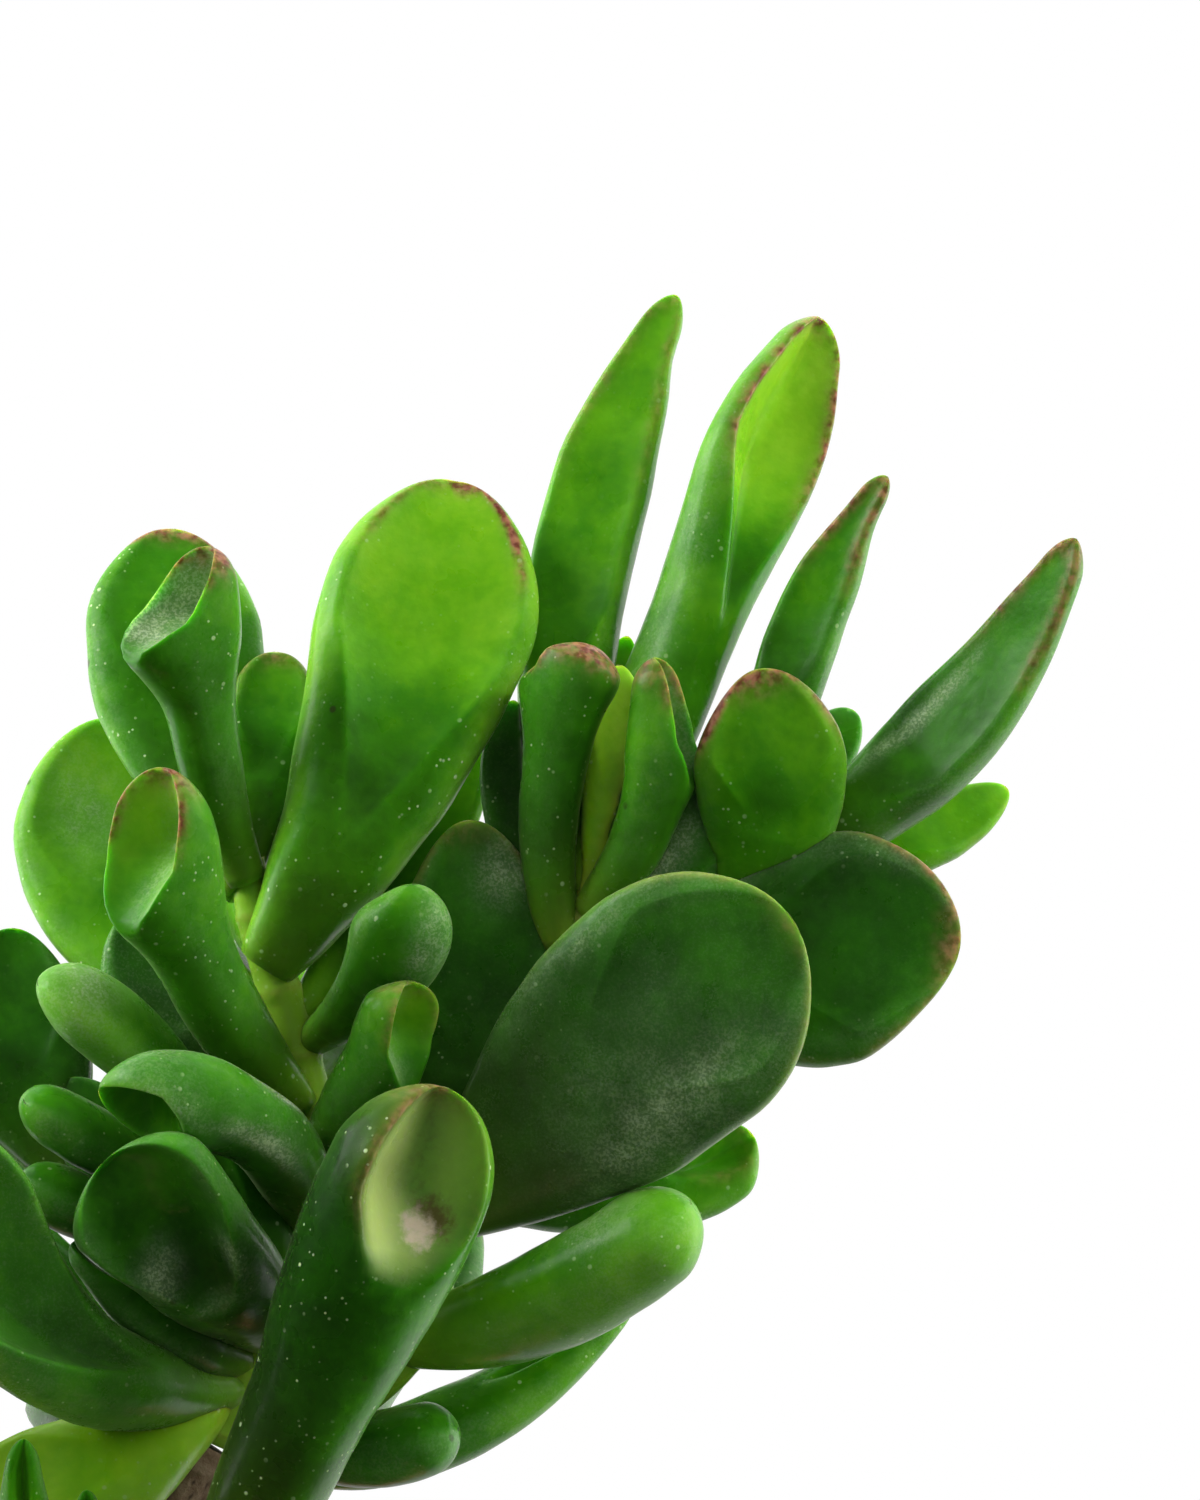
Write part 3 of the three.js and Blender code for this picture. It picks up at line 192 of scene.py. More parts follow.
RIGHT_LEAVES = [
    # crown: tall finger, channelled spoon and the leaves round them
    leaf("finger", (57.1, 1, 161), (57.6, 8, 191), (67.7, 13, 221), (-0.3, -0.95, 0), 5.3, 4, tone=0.46,
         brown=0.4, dots=0.4, wax=0.2, start=0.3, mouth=0.86, near=0.5, full=0.25, hollow=0.08, vee=0,
         width=[(0, 0.5), (0.3, 0.85), (0.55, 1), (0.7, 0.97), (0.76, 0.88), (0.83, 0.74), (0.91, 0.49),
                (1, 0.34)]),
    leaf("spoon", (58.6, 0.8, 160.4), (70.3, 5, 190), (82.4, 11, 218.6), (0.65, -0.76, 0), 6.9, 4.8,
         tone=0.42, cup=0.34, brown=1, dots=0.3, deep=0.3, start=0.48, vee=0.6, end=0.94,
         width=[(0, 0.45), (0.3, 0.58), (0.5, 0.68), (0.58, 0.8), (0.67, 0.93), (0.75, 1), (0.84, 0.92),
                (0.92, 0.64), (1, 0.34)]),
    leaf("paddle", (57.6, 1.2, 160), (59.8, 7, 173), (62.8, 11, 186.5), (0, -1, 0.2), 2.8, 1.8, tone=0.6),
    leaf("paddle", (58.3, -0.4, 160), (61.2, -0.6, 172), (61.9, -0.5, 183.5), (0, -1, 0.2), 3.1, 1.8,
         tone=0.8, pale=0.3),
    leaf("trumpet", (56, -0.4, 155.6), (55.2, -3, 171), (59.4, -4, 185.4), (-0.8, 0.5, 0.35), 3.7, 4,
         tone=0.24, brown=1.6, pale=0.6, wax=0.1, brown_from=0.8, start=0.8, lip=0.7, end=0.93,
         mouth=0.88, full=0.3, hollow=0.9,
         width=[(0, 0.5), (0.25, 0.7), (0.55, 0.78), (0.78, 0.86), (0.92, 1), (1, 0.9)],
         depth=[(0, 0.5), (0.25, 0.7), (0.55, 0.8), (0.78, 0.9), (0.92, 1), (1, 0.6)]),
    leaf("trumpet", (58.6, -1, 158.8), (65, -5, 169.6), (65.4, -7, 184.2), (0.9, -0.35, 0.3), 3.1, 3.4,
         tone=0.34, cup=0.1, brown=1.2, pale=0.6, brown_from=0.8, wax=0.15, film=(0.6, 0), start=0.6,
         lip=0.35, end=0.92, mouth=0.8, full=0.35, hollow=0.8,
         width=[(0, 0.5), (0.25, 0.8), (0.55, 0.92), (0.72, 1), (0.85, 0.8), (1, 0.5)]),
    leaf("paddle", (56.4, 0.8, 157.5), (51.3, 3, 168), (51.4, 5, 180), (0, -1, 0.2), 2.9, 1.8, tone=0.22,
         bloom=0.3, torn=1),
    leaf("paddle", (58.4, -0.5, 157), (66.7, -2.4, 162.3), (70.9, -3.6, 173.2), (0, -1, 0.3), 4.3, 2,
         tone=0.25, frost=[(0.6, 0.5, 1.6, 3, 1.6)]),
    # side crown: fingers to the right, round paddle in front
    leaf("finger", (75, 0.8, 163), (80, 0, 185.2), (88.6, -3, 202.3), (-0.35, -0.9, 0.2), 3.8, 3.2,
         tone=0.37, brown=0.9, dots=0.4, start=0.3, mouth=0.86, near=0.5, full=0.25, hollow=0.1, vee=0,
         width=[(0, 0.6), (0.4, 0.97), (0.5, 1), (0.61, 0.95), (0.7, 0.84), (0.86, 0.48), (1, 0.34)]),
    leaf("finger", (75.6, 0, 162.5), (94.3, -3, 176.4), (107.2, -8, 196), (-0.45, -0.85, 0.3), 5.3, 4.2,
         tone=0.33, brown=0.9, dots=0.4, frost=[(0.52, 2.3, 0.8, 11, 1.5)], start=0.25, mouth=0.9,
         near=0.5, full=0.25, hollow=0.04, vee=0,
         width=[(0, 0.5), (0.31, 0.85), (0.43, 0.98), (0.55, 1), (0.71, 0.84), (0.84, 0.62), (1, 0.3)]),
    leaf("paddle", (75.2, 0.8, 163), (81, 5, 172.4), (85.6, 9, 179), (0, -1, 0.2), 3.1, 1.8, tone=0.25),
    leaf("paddle", (75.4, 0.4, 161.8), (89.5, 4, 165.3), (101, 8, 171.2), (0, -1, 0.3), 3.6, 1.8,
         tone=0.5, brown=0.2),
    leaf("paddle", (73.4, -0.8, 157.4), (76.9, -5, 170), (75.2, -8, 182.9), (0.05, -1, 0.3), 7.6, 2.6,
         tone=0.42, brown=1.7, margin=0.5, wax=0.15, rim_side=0.5, light=0.2, hollow=0.1),
    # big paddles
    leaf("paddle", (63.4, -0.3, 147.6), (80, -6, 154.6), (95.6, -10, 155), (0.1, -1, 0.25), 11.9, 3.2,
         tone=0.17, brown=0.9, bloom=0.05, dots=0.3, margin=0.6, light=0.04, rim_side=0.5, side=-0.1,
         end=0.62, hollow=0.05),
    leaf("paddle", (45.8, -0.8, 128.4), (63.6, -13, 146), (79, -20, 158.2), (0.05, -1, 0.1), 12.9, 3.6,
         tone=0.17, bloom=0.24, brown=0.3, dots=0.2, margin=1, light=0.2,
         frost=[(0.5, -7.4, 2.3, 5, 1.1), (0.45, -3, 6.5, 1.7, 0.4), (0.6, 11, 0.6, 8, 0.8)], end=0.62,
         hollow=0.03, width=[(0, 0.2), (0.12, 0.52), (0.35, 0.9), (0.55, 1), (0.8, 0.97), (1, 0.86)]),
    leaf("paddle", (45.6, -0.6, 129.4), (47.6, -0.4, 147), (46.8, -1.2, 168), (0.1, -1, 0.2), 8.6, 3,
         tone=0.15, bloom=0.12, margin=0.6, frost=[(0.88, -3, 2.5, 1, 1.4)], light=0.2, brown=0.4,
         brown_from=0.8, end=0.58, hollow=0.03,
         width=[(0, 0.5), (0.25, 0.9), (0.58, 1), (0.8, 1), (1, 0.9)]),
    # low on the stem, to the right
    leaf("bean", (40.8, -0.8, 116), (56.8, -7, 121.1), (68.9, -12, 130.3), (-0.5, -0.5, 0.8), 5.6, 5.4,
         tone=0.46, pale=0.6, frost=[(0.75, 0, 3, 1.6, 1.1)], end=0.82,
         width=[(0, 0.5), (0.3, 0.75), (0.6, 0.9), (0.82, 1), (1, 0.95)]),
    leaf("finger", (46.8, 0.8, 131.5), (63, 6, 131), (75.3, 9, 136.4), (0, -1, 0.2), 5.3, 3.2, tone=0.38,
         brown=0.3, end=0.85, width=[(0, 0.5), (0.4, 0.85), (0.7, 1), (0.88, 0.9), (1, 0.6)]),
    leaf("finger", (27.4, 2, 104), (46, 3, 107.6), (63.4, 6, 120.5), (0, -0.5, 1), 4.9, 3.4, tone=0.38),
    leaf("bean", (29.4, 0.4, 105), (38, -5, 105.4), (45.9, -8, 107.7), (0, -0.5, 1), 4.7, 3.6, tone=0.24,
         end=0.8),
    # the far side of the stem
    leaf("trumpet", (57.2, 1, 158), (60, 14, 165), (61, 25, 176), (0, -0.7, 0.7), 4.4, 4.2, tone=0.45,
         cup=0.2, brown=0.7),
    leaf("spoon", (51, 1, 138), (55, 16, 142), (57, 28, 153), (0, -0.6, 0.8), 6.4, 4.2, tone=0.36,
         cup=0.2, brown=0.5),
    leaf("finger", (68, 0.8, 151.5), (73, 14, 155), (76, 26, 165), (0, -0.6, 0.8), 4, 3.4, tone=0.4,
         brown=0.6),
    leaf("paddle", (40.6, 1, 116), (42, 13, 121), (43, 24, 133), (0, -0.6, 0.8), 6, 2.8, tone=0.3,
         brown=0.4),
    leaf("trumpet", (33, 1.6, 109), (36, 15, 111), (38, 27, 119), (0, -0.5, 0.9), 4.4, 4.2, tone=0.3,
         cup=0.15, brown=0.4),
    leaf("paddle", (56.2, 1, 147), (65, 13, 148), (74, 24, 153), (-0.3, -0.6, 0.8), 6.2, 2.8, tone=0.35,
         brown=0.5),
    leaf("finger", (73.4, 1, 158), (80, 12, 160), (87, 20, 166), (-0.3, -0.6, 0.8), 3.8, 3.2, tone=0.42,
         brown=0.7),
    leaf("trumpet", (57.5, 1, 153), (59.5, 13, 155), (60, 24, 160), (0.1, -0.6, 0.8), 4.2, 4, tone=0.4,
         cup=0.2, brown=0.6),
]
RIGHT_STEMS = [
    [[[24, 2.4, 101], [31.8, 1, 108], [40, 0, 115], [44, 0, 125], [50.5, 0, 137], [57, 0, 148.5],
      [58.3, 0, 160]], [3, 2]],
    [[[50.5, 0, 137], [60, 0, 145], [70, 0, 153], [75, 0, 163]], [2.6, 2]],
]

LOW_LEAVES = [
    # the big trumpet that leans forward, and the leaves at its foot
    leaf("trumpet", (21.6, -12, 89.6), (33.9, -21, 116.6), (45.1, -26, 141.9), (0.45, -0.88, 0.15), 8.4,
         7.4, tone=0.2, cup=0.14, olive=1, brown=0.8, light=0.12, scar=(0.75, -2.0, 2.2), side=-0.22,
         margin=0.8, margin_width=2.4, brown_from=0.7, wax=0, dots=0.9, margin_from=0.72, flank=0,
         rim_side=1, mouth=0.73, near=0.42, full=0.38, end=0.83, round=2.4, hollow=0.95,
         width=[(0, 0.36), (0.2, 0.64), (0.4, 0.74), (0.55, 0.9), (0.7, 1), (0.85, 1), (1, 0.92)]),
    leaf("finger", (11.8, -9, 81.6), (4.9, -18, 93.4), (3.5, -23, 107.4), (0, -1, 0.2), 3.6, 3, tone=0.3),
    leaf("finger", (13.2, -9.6, 82.4), (10.6, -15, 93), (9.4, -18, 102.1), (0, -1, 0.2), 2.4, 2,
         tone=0.3),
    leaf("spoon", (16, -10.8, 84.4), (8, -24, 87), (2, -35, 96), (0.3, 0.3, 1), 6, 4, tone=0.4, cup=0.2,
         brown=0.6),
    leaf("trumpet", (21, -12, 87.6), (34, -20, 85), (45, -27, 91), (0, 0.2, 1), 4.4, 4.2, tone=0.35,
         cup=0.15, brown=0.5),
    leaf("paddle", (18, -11.4, 85.6), (19, -25, 81), (22, -36, 84), (0, 0.3, 1), 6.4, 2.8, tone=0.35,
         brown=0.5),
]
LOW_STEMS = [[[[10.2, -8.2, 80.2], [17, -11, 85], [24.6, -12.2, 92]], [3, 2.4]]]

# The shoots whose leaves are placed one by one, each with its stems, its leaves and the seed of
# its unevenness
SHOOTS = {
    "front_shoot": (FRONT_STEMS, FRONT_LEAVES, 100),
    "right_shoot": (RIGHT_STEMS, RIGHT_LEAVES, 400),
    "low_shoot": (LOW_STEMS, LOW_LEAVES, 700),
}

# The shoots that face away are laid out by rule: opposite pairs, each pair a quarter turn
# from the one below, opening less and growing shorter towards the crown. Each has the path and
# the radii of its stem, the seed of its unevenness, and its rule.
RULED_SHOOTS = {
    "left_shoot": (
        [[-18.2, 2, 100.3], [-25, 1, 112], [-31, -1, 126], [-35, -3, 140]], [3, 2], 900,
        dict(pairs=8, first=0.14, turn=0.5, lowest=34, highest=25, open_lean=1.25,
             closed_lean=0.45, seed=11, omit=[])),
    "back_shoot": (
        [[12.2, 25.2, 99.8], [14, 35, 110], [15, 42, 123], [15, 46, 136]], [3, 2], 1100,
        dict(pairs=7, first=0.16, turn=0.2, lowest=33, highest=25, open_lean=1.25,
             closed_lean=0.5, seed=23, omit=[0, 1, 12])),
    "left_back_shoot": (
        [[-13.2, 25.2, 90.3], [-18, 34, 99], [-22, 41, 110], [-24, 45, 121]], [2.8, 2], 1300,
        dict(pairs=6, first=0.18, turn=0.9, lowest=31, highest=24, open_lean=1.25,
             closed_lean=0.5, seed=37, omit=[1, 4])),
}
RULED_SIZES = {"spoon": [6.4, 4.2], "paddle": [7, 2.8], "finger": [3.9, 3.4], "trumpet": [4.6, 4.4]}
RULED_ORDER = ["trumpet", "finger", "spoon", "paddle", "trumpet"]
RULED_LAST = 0.99  # how far up the stem the highest pair is
TURN_DRAW, LEAN_DRAW, LENGTH_DRAW = 0.5, 0.25, 0.25  # how widely the draws spread

# Woody branches: they run from the trunk to where each green shoot starts.
TRUNK_BRANCHES = [
    [[[0, 0, 58], [0.6, 0, 66], [4, 0, 79], [12, 0, 93], [20, 0, 106]], [6.2, 3.7]],
    [[[10, 0, 89], [16.5, 1.6, 95.5], [23.8, 2.4, 100.8]], [4, 3.2]],
    [[[2.6, 0, 74], [-6, 1.4, 86], [-18, 2, 99.9]], [4.6, 3.2]],
    [[[4, 0, 79], [8, 12, 89], [12, 25, 99.6]], [4.4, 3.2]],
    [[[-0.6, 1, 75], [-6.6, 13, 82], [-13, 24.9, 89.9]], [3.8, 3]],
    [[[2, -1, 72], [5.5, -5.6, 76.2], [9.9, -8.1, 79.9]], [4, 3.2]],
]

# ---- pot and soil sizes ----

POT_HEIGHT = 70
POT_RIM_RADIUS = 50
POT_RIM_HEIGHT = 16
POT_RIM_TAPER = 2.2  # how much narrower the rolled rim is at its lower edge
POT_FOOT_RADIUS = 34
POT_WALL = 5
POT_FOOT_INSIDE = POT_FOOT_RADIUS - POT_WALL + 2
POT_TOP_INSIDE = POT_RIM_RADIUS - POT_WALL * 2 + 2
POT_FLOOR = 6
POT_ROUNDING = 1.8
POT_SHARP_ANGLE = 40  # in degrees: edges above it stay sharp
POT_SIDES = 144
DRAIN_HOLES = 3
DRAIN_RADIUS = 3.5
DRAIN_CIRCLE = 17
DRAIN_TURN = 0.4  # where the first hole is, in radians
DRAIN_SIDES = 32
SOIL_TOP = 62
SOIL_SIDES = 120
SOIL_RINGS = 46
SOIL_BUMP = 0.9
SOIL_CHAMFER = 2
SOIL_CRUMBS = ((4.0, 3, 0.35), (1.7, 4, 0.22))  # size, seed and height
TRUNK_FOOT = 38
TRUNK_RADIUS = 6.6
TRUNK_SEED = 9
GAP = 0.3

# ---- fineness and small relief ----

SEEN_LEAF = {"along": 52, "flank": 8, "bowl": 18, "under": 18}
UNSEEN_LEAF = {"along": 34, "flank": 6, "bowl": 12, "under": 12}
GRAINS = 1500
GRAIN_SIZES, GRAIN_SHARES = [0.45, 0.7, 1.1, 1.8], [0.4, 0.35, 0.18, 0.07]
GRAIN_SEED = 5
TIP_SHARE = 0.34  # of a leaf's rings, those where its tip rounds off

THINNEST_WALL = 1.1  # under the mouth's hollow
LIP_PLACE, LIP_SPREAD = 0.04, 0.16  # along the leaf, past where the mouth opens
RIM_BEAD, RIM_BEAD_WIDTH = 0.22, 0.7  # a raised line round the mouth
LEAF_SWELLS = ((11, 0.16), (5, 0.05))  # the size and height of a leaf's unevenness
LEAST_WIDTH = 0.3  # a half-width that keeps distances to the rim above nothing
LUMP_WAVES = 6  # sine waves in all directions that make up an unevenness

STEM_STEP, STEM_SIDES = 0.45, 28
JOINT_SPACING, JOINT_WIDTH, JOINT_SWELL = 7.5, 0.7, 0.10
BRANCH_STEP, BRANCH_SIDES, TRUNK_SIDES = 0.4, 40, 48
RING_SPACING, RING_WIDTH, RING_SWELL = 6.0, 0.6, 0.05


# ---- mesh helpers ----

def graded(points, t):
    """A smooth curve through (place, value) points, at the places t."""
    places, values = np.array(points, float).T
    slopes = np.diff(values) / np.diff(places)
    tangents = np.concatenate([slopes[:1], (slopes[1:] + slopes[:-1]) / 2, slopes[-1:]])
    i = np.clip(np.searchsorted(places, t) - 1, 0, len(places) - 2)
    h = places[i + 1] - places[i]
    s = (t - places[i]) / h
    return ((2 * s**3 - 3 * s**2 + 1) * values[i] + (s**3 - 2 * s**2 + s) * h * tangents[i]
            + (3 * s**2 - 2 * s**3) * values[i + 1] + (s**3 - s**2) * h * tangents[i + 1])


def soft_min(a, b, k):
    """The smaller of two values, with the corner between them rounded over k."""
    e = np.maximum(k - np.abs(a - b), 0)
    return np.minimum(a, b) - e * e / (4 * k)


def step(low, high, x):
    """0 below low, 1 above high, smooth between."""
    s = np.clip((x - low) / (high - low), 0, 1)
    return s * s * (3 - 2 * s)


def bell(x):
    """1 at 0, falling off smoothly to both sides."""
    return np.exp(-x ** 2)


def unit(ways):
    """The ways at a length of 1."""
    return ways / np.linalg.norm(ways, axis=-1, keepdims=True)


def lumps(points, size, seed):
    """Smooth values of about -1 to 1 at the points, with features about this size."""
    rng = np.random.RandomState(seed)
    total = np.zeros(points.shape[:-1])
    for _ in range(LUMP_WAVES):
        way = unit(rng.normal(size=3))
        waves = FULL_TURN / size * rng.uniform(0.7, 1.5)
        total += np.sin(points @ way * waves + rng.uniform(0, 6.3))
    return total / (LUMP_WAVES / 2)


def circle(count):
    """Angles evenly round a full turn."""
    return np.arange(count) / count * FULL_TURN


def swept(centre, across, side, x, y):
    """A grid of points: for each centre a ring, with x along its across way and y along its side way."""
    return centre[:, None] + x[..., None] * across[:, None] + y[..., None] * side[:, None]


def put(name, data):
    """A new object in the scene."""
    thing = bpy.data.objects.new(name, data)
    bpy.context.scene.collection.objects.link(thing)
    return thing


def put_bmesh(name, bm):
    """A new mesh object in the scene from a bmesh, which is then freed."""
    mesh = bpy.data.meshes.new(name)
    bm.to_mesh(mesh)
    bm.free()
    return put(name, mesh)


class Skin:
    """Collects closed bodies of ring-shaped sections, with values at their points, for one mesh."""

    VALUES = ("tone", "cup", "brown", "bloom", "frost", "dots", "pale", "scar", "stain", "olive",
              "margin", "torn")

    def __init__(self):
        self.points = []
        self.faces = []
        self.values = {name: [] for name in self.VALUES}
        self.count = 0

    def add(self, grid, **values):
        """grid is rings by points by 3. The first ring is closed with a fan, the last with another."""
        rings, around = grid.shape[:2]
        base = self.count
        self.points.append(np.concatenate([grid.reshape(-1, 3), grid[[0, -1]].mean(axis=1)]))
        index = base + np.arange(rings * around).reshape(rings, around)
        after = np.roll(index, -1, axis=1)
        quads = np.stack([index[:-1], after[:-1], after[1:], index[1:]], -1).reshape(-1, 4)
        self.faces.extend(quads.tolist())
        foot, head = base + rings * around, base + rings * around + 1
        self.faces.extend([foot, int(b), int(a)] for a, b in zip(index[0], after[0]))
        self.faces.extend([head, int(a), int(b)] for a, b in zip(index[-1], after[-1]))
        for name in self.VALUES:
            flat = np.broadcast_to(values.get(name, 0.0), (rings, around))
            self.values[name].append(np.concatenate([flat.ravel(), flat[[0, -1]].mean(axis=1)]))
        self.count += rings * around + 2

    def build(self, name):
        """The mesh object, in metres, smooth, with its values as point attributes."""
        mesh = bpy.data.meshes.new(name)
        mesh.from_pydata((np.concatenate(self.points) * MM).tolist(), [], self.faces)
        for value in self.VALUES:
            data = np.concatenate(self.values[value]).astype(np.float32)
            if np.any(data):
                mesh.attributes.new(value, "FLOAT", "POINT").data.foreach_set("value", data)
        mesh.polygons.foreach_set("use_smooth", [True] * len(mesh.polygons))
        mesh.update()
        return put(name, mesh)


def finish_piece(piece, node, material):
    """Gives a piece its material and ties it to the frame."""
    piece.data.materials.clear()
    piece.data.materials.append(material)
    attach(piece, "root")
    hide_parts(node)


# ---- leaf ----

def section(mouth, fineness, box):
    """Across places u and a height share for each ring: flank, bowl, flank, then the underside."""
    spread = np.maximum(mouth, 0.3)
    flank = np.sin(np.linspace(0, math.pi / 2, fineness["flank"] + 1))
    right = np.cos(np.arccos(spread ** (1 / box)) * flank) ** box
    bowl = spread * np.cos(np.linspace(0, math.pi, fineness["bowl"] + 1)[1:-1])
    upper = np.concatenate([right, bowl, -right[:, ::-1]], axis=1)
    below = np.linspace(math.pi, FULL_TURN, fineness["under"] + 1)[1:-1]
    lower = np.sign(np.cos(below)) * np.abs(np.cos(below)) ** box
    u = np.concatenate([upper, np.broadcast_to(lower, (len(mouth), len(lower)))], axis=1)
    is_upper = np.zeros(u.shape, bool)
    is_upper[:, :upper.shape[1]] = True
    height = np.maximum(1 - np.abs(u) ** (2 / box), 0) ** (box / 2)
    return u, height, is_upper


def leaf_places(end, count):
    """Places along a leaf, as a column: even up to its end, then closer and closer round the tip."""
    tip_count = max(6, round(count * TIP_SHARE))
    body = np.linspace(0, end, count - tip_count + 1)[:-1]
    tip = end + (1 - end) * np.sin(np.linspace(0, math.pi / 2, tip_count + 1))
    return np.concatenate([body, tip[:-1], [1 - (1 - end) * 1e-3]])[:, None]


def centre_line(leaf, t):
    """The leaf's centre line, the ways across it and up from it, and its length."""
    bend = 2 * leaf.middle - (leaf.root + leaf.tip) / 2
    centre = (1 - t) ** 2 * leaf.root + 2 * t * (1 - t) * bend + t ** 2 * leaf.tip
    along = 2 * (1 - t) * (bend - leaf.root) + 2 * t * (leaf.tip - bend)
    length = np.linalg.norm(along, axis=1).mean()
    along = unit(along)
    up = unit(leaf.face - (along @ leaf.face)[:, None] * along)
    return centre, np.cross(up, along), up, length


def leaf_shape(leaf, fineness, seed):
    """The leaf's grid of points, with the measures that its colours follow."""
    t = leaf_places(leaf.end, fineness["along"])
    centre, across, up, length = centre_line(leaf, t)
    over = np.clip((t - leaf.end) / (1 - leaf.end), 0, 1)
    rounding = np.sqrt(np.maximum(1 - over ** 2, 0))
    width = graded(leaf.width, t) * leaf.half_width * rounding
    depth = graded(leaf.depth, t) * leaf.half_depth * rounding

    # the outer skin, and the hollow that the mouth cuts into its upper side
    opened = (t - leaf.start) / (1 - leaf.start)
    s = np.clip(opened, 0, 1)
    mouth = np.maximum(leaf.mouth * np.minimum(1, s / leaf.full) ** leaf.near, 1e-3)
    u, share, is_upper = section(mouth, fineness, leaf.box)
    lip = 1 + leaf.lip * bell((t - leaf.start - LIP_PLACE) / LIP_SPREAD)
    under = depth * share
    outer = under * lip
    rim = depth * lip * (1 - np.minimum(mouth, 0.999) ** (2 / leaf.box)) ** (leaf.box / 2)
    deepens, runs_out = np.minimum(1, s / 0.45) ** 0.8, 1 - 0.75 * s ** 4
    hollow = leaf.hollow * leaf.half_depth * deepens * runs_out * lip
    q = np.abs(u) / mouth
    bowl = leaf.vee * (1 - q) + (1 - leaf.vee) * (1 - q * q)
    still_closed = np.maximum(-opened, 0) * 8 * leaf.half_depth
    cut = rim - hollow * bowl + still_closed
    cut = np.maximum(cut, -under + np.minimum(THINNEST_WALL, depth * 0.9))
    top = soft_min(outer, cut, leaf.round or min(1.2, 0.35 * leaf.half_depth))
    to_rim = (np.abs(u) - mouth) * np.maximum(width, LEAST_WIDTH)
    bead = RIM_BEAD * bell(to_rim / RIM_BEAD_WIDTH) * step(0.05, 0.3, s)
    height = np.where(is_upper, top + bead * np.minimum(1, depth / 1.5), -under)
    grid = swept(centre, across, up, u * width, height)

    # slight unevenness, which fades out at the tip
    swell = sum(lumps(grid, size, seed + k) * amount for k, (size, amount) in enumerate(LEAF_SWELLS))
    out = grid - centre[:, None]
    out /= np.linalg.norm(out, axis=2, keepdims=True) + 1.5
    grid = grid + out * (swell * rounding)[..., None]
    return SimpleNamespace(
        grid=grid, t=t, u=u, s=s, opened=opened, width=width, length=length, height=height,
        is_upper=is_upper, to_rim=to_rim, above_rim=rim - height,
        cup=np.where(is_upper, step(-0.15, 0.5, outer - cut), 0) * step(0, 0.15, s))


def edge_distance(leaf, shape):
    """How far each point is from the leaf's edge or from the mouth's rim, in mm."""
    if leaf.form == "paddle":
        edge = np.hypot((1 - np.abs(shape.u)) * shape.width, shape.height * 0.5)
    else:
        edge = np.hypot(shape.to_rim, np.where(shape.is_upper, shape.above_rim, 2.5))
        edge = edge + step(0.1, 0, shape.opened) * 9
    return np.minimum(edge, (1 - shape.t) * shape.length * 0.45)


def leaf_colours(leaf, shape):
    """The values that the leaf material reads, at each point."""
    t, u, cup = shape.t, shape.u, shape.cup
    edge = edge_distance(leaf, shape)
    # painted light: the inside of the mouth brighter, as if lit through its thin wall, and the tip lighter
    # while the foot is partly painted shade
    tone = leaf.tone + leaf.cup * cup * (0.5 + 0.5 * shape.s) + leaf.light * (step(0.15, 1, t) - 0.4)
    # painted shade in the throat; painted light on one side of the leaf and painted shade on the other
    tone = tone - leaf.deep * cup * (1 - step(0, 0.6, shape.s)) + leaf.side * u
    # painted light along the flanks
    tone = tone + leaf.flank * step(0.55, 1, np.abs(u)) * (1 - cup)
    brown = leaf.brown * bell(edge / leaf.rim_width) * step(leaf.brown_from, (1 + leaf.brown_from) / 2, t)
    if leaf.rim_side:
        brown = brown * step(-1.2, 0.2, leaf.rim_side * u)
    margin = leaf.margin * step(leaf.margin_from, leaf.margin_from + 0.3, t)

    from_middle = u * shape.width
    # painted sheen, partly wax bloom: a white film along the flanks
    frost = leaf.wax * step(0.6, 1, np.abs(u)) * step(0.1, 0.35, t)
    # patches of white film: most are painted highlights, some the leaf's dusty bloom
    for place, offset, radius, stretch, amount in leaf.frost:
        beside, below = from_middle - offset, (t - place) * shape.length / stretch
        frost = frost + amount * np.exp(-(below ** 2 + beside ** 2) / radius ** 2)
    # white film and painted highlight inside the mouth
    film, side = leaf.film
    frost = frost + film * cup * (step(-0.5, 0.5, side * u) if side else 1)

    inside = np.where(shape.is_upper, step(0.9, -2.2, shape.to_rim), 0) * step(-0.02, 0.16, shape.opened)
    values = {
        "tone": tone,
        "cup": cup,
        "brown": brown,
        "bloom": leaf.bloom,
        "frost": frost,
        "margin": margin * bell(edge / leaf.margin_width),
        "torn": leaf.torn * step(0.45, 0.75, -u) * step(0.3, 0.45, t),
        "dots": leaf.dots * (1 - 0.8 * cup) * (0.45 + 0.55 * step(0.2, 0.85, np.abs(u))),
        "pale": leaf.pale * np.exp(-t / 0.13),
        "olive": leaf.olive * inside * (0.35 + 0.65 * step(-0.6, 0.4, u)),
    }
    if leaf.scar:
        # a round scar, a stain above and beside it, and a darker stripe from it to the rim, partly brown
        # stain and partly painted shade of a crease
        place, offset, radius = leaf.scar
        beside, past = from_middle - offset, t - place
        below = past * shape.length
        off_stain = np.hypot(below - radius * 0.7, beside + radius * 0.6) / radius
        # a darker stripe: partly brown stain, partly painted shade of a crease
        crease_stain_and_shade = bell((beside - past * 10) / 1.6) * step(0, 0.06, past)
        values["scar"] = inside * step(1.25, 0.25, np.hypot(below, beside) / radius)
        values["stain"] = inside * np.maximum(step(1.5, 0.1, off_stain), 0.3 * crease_stain_and_shade)
        values["olive"] = values["olive"] * (1 - 0.6 * crease_stain_and_shade)
    return values


# ---- stems and branches ----

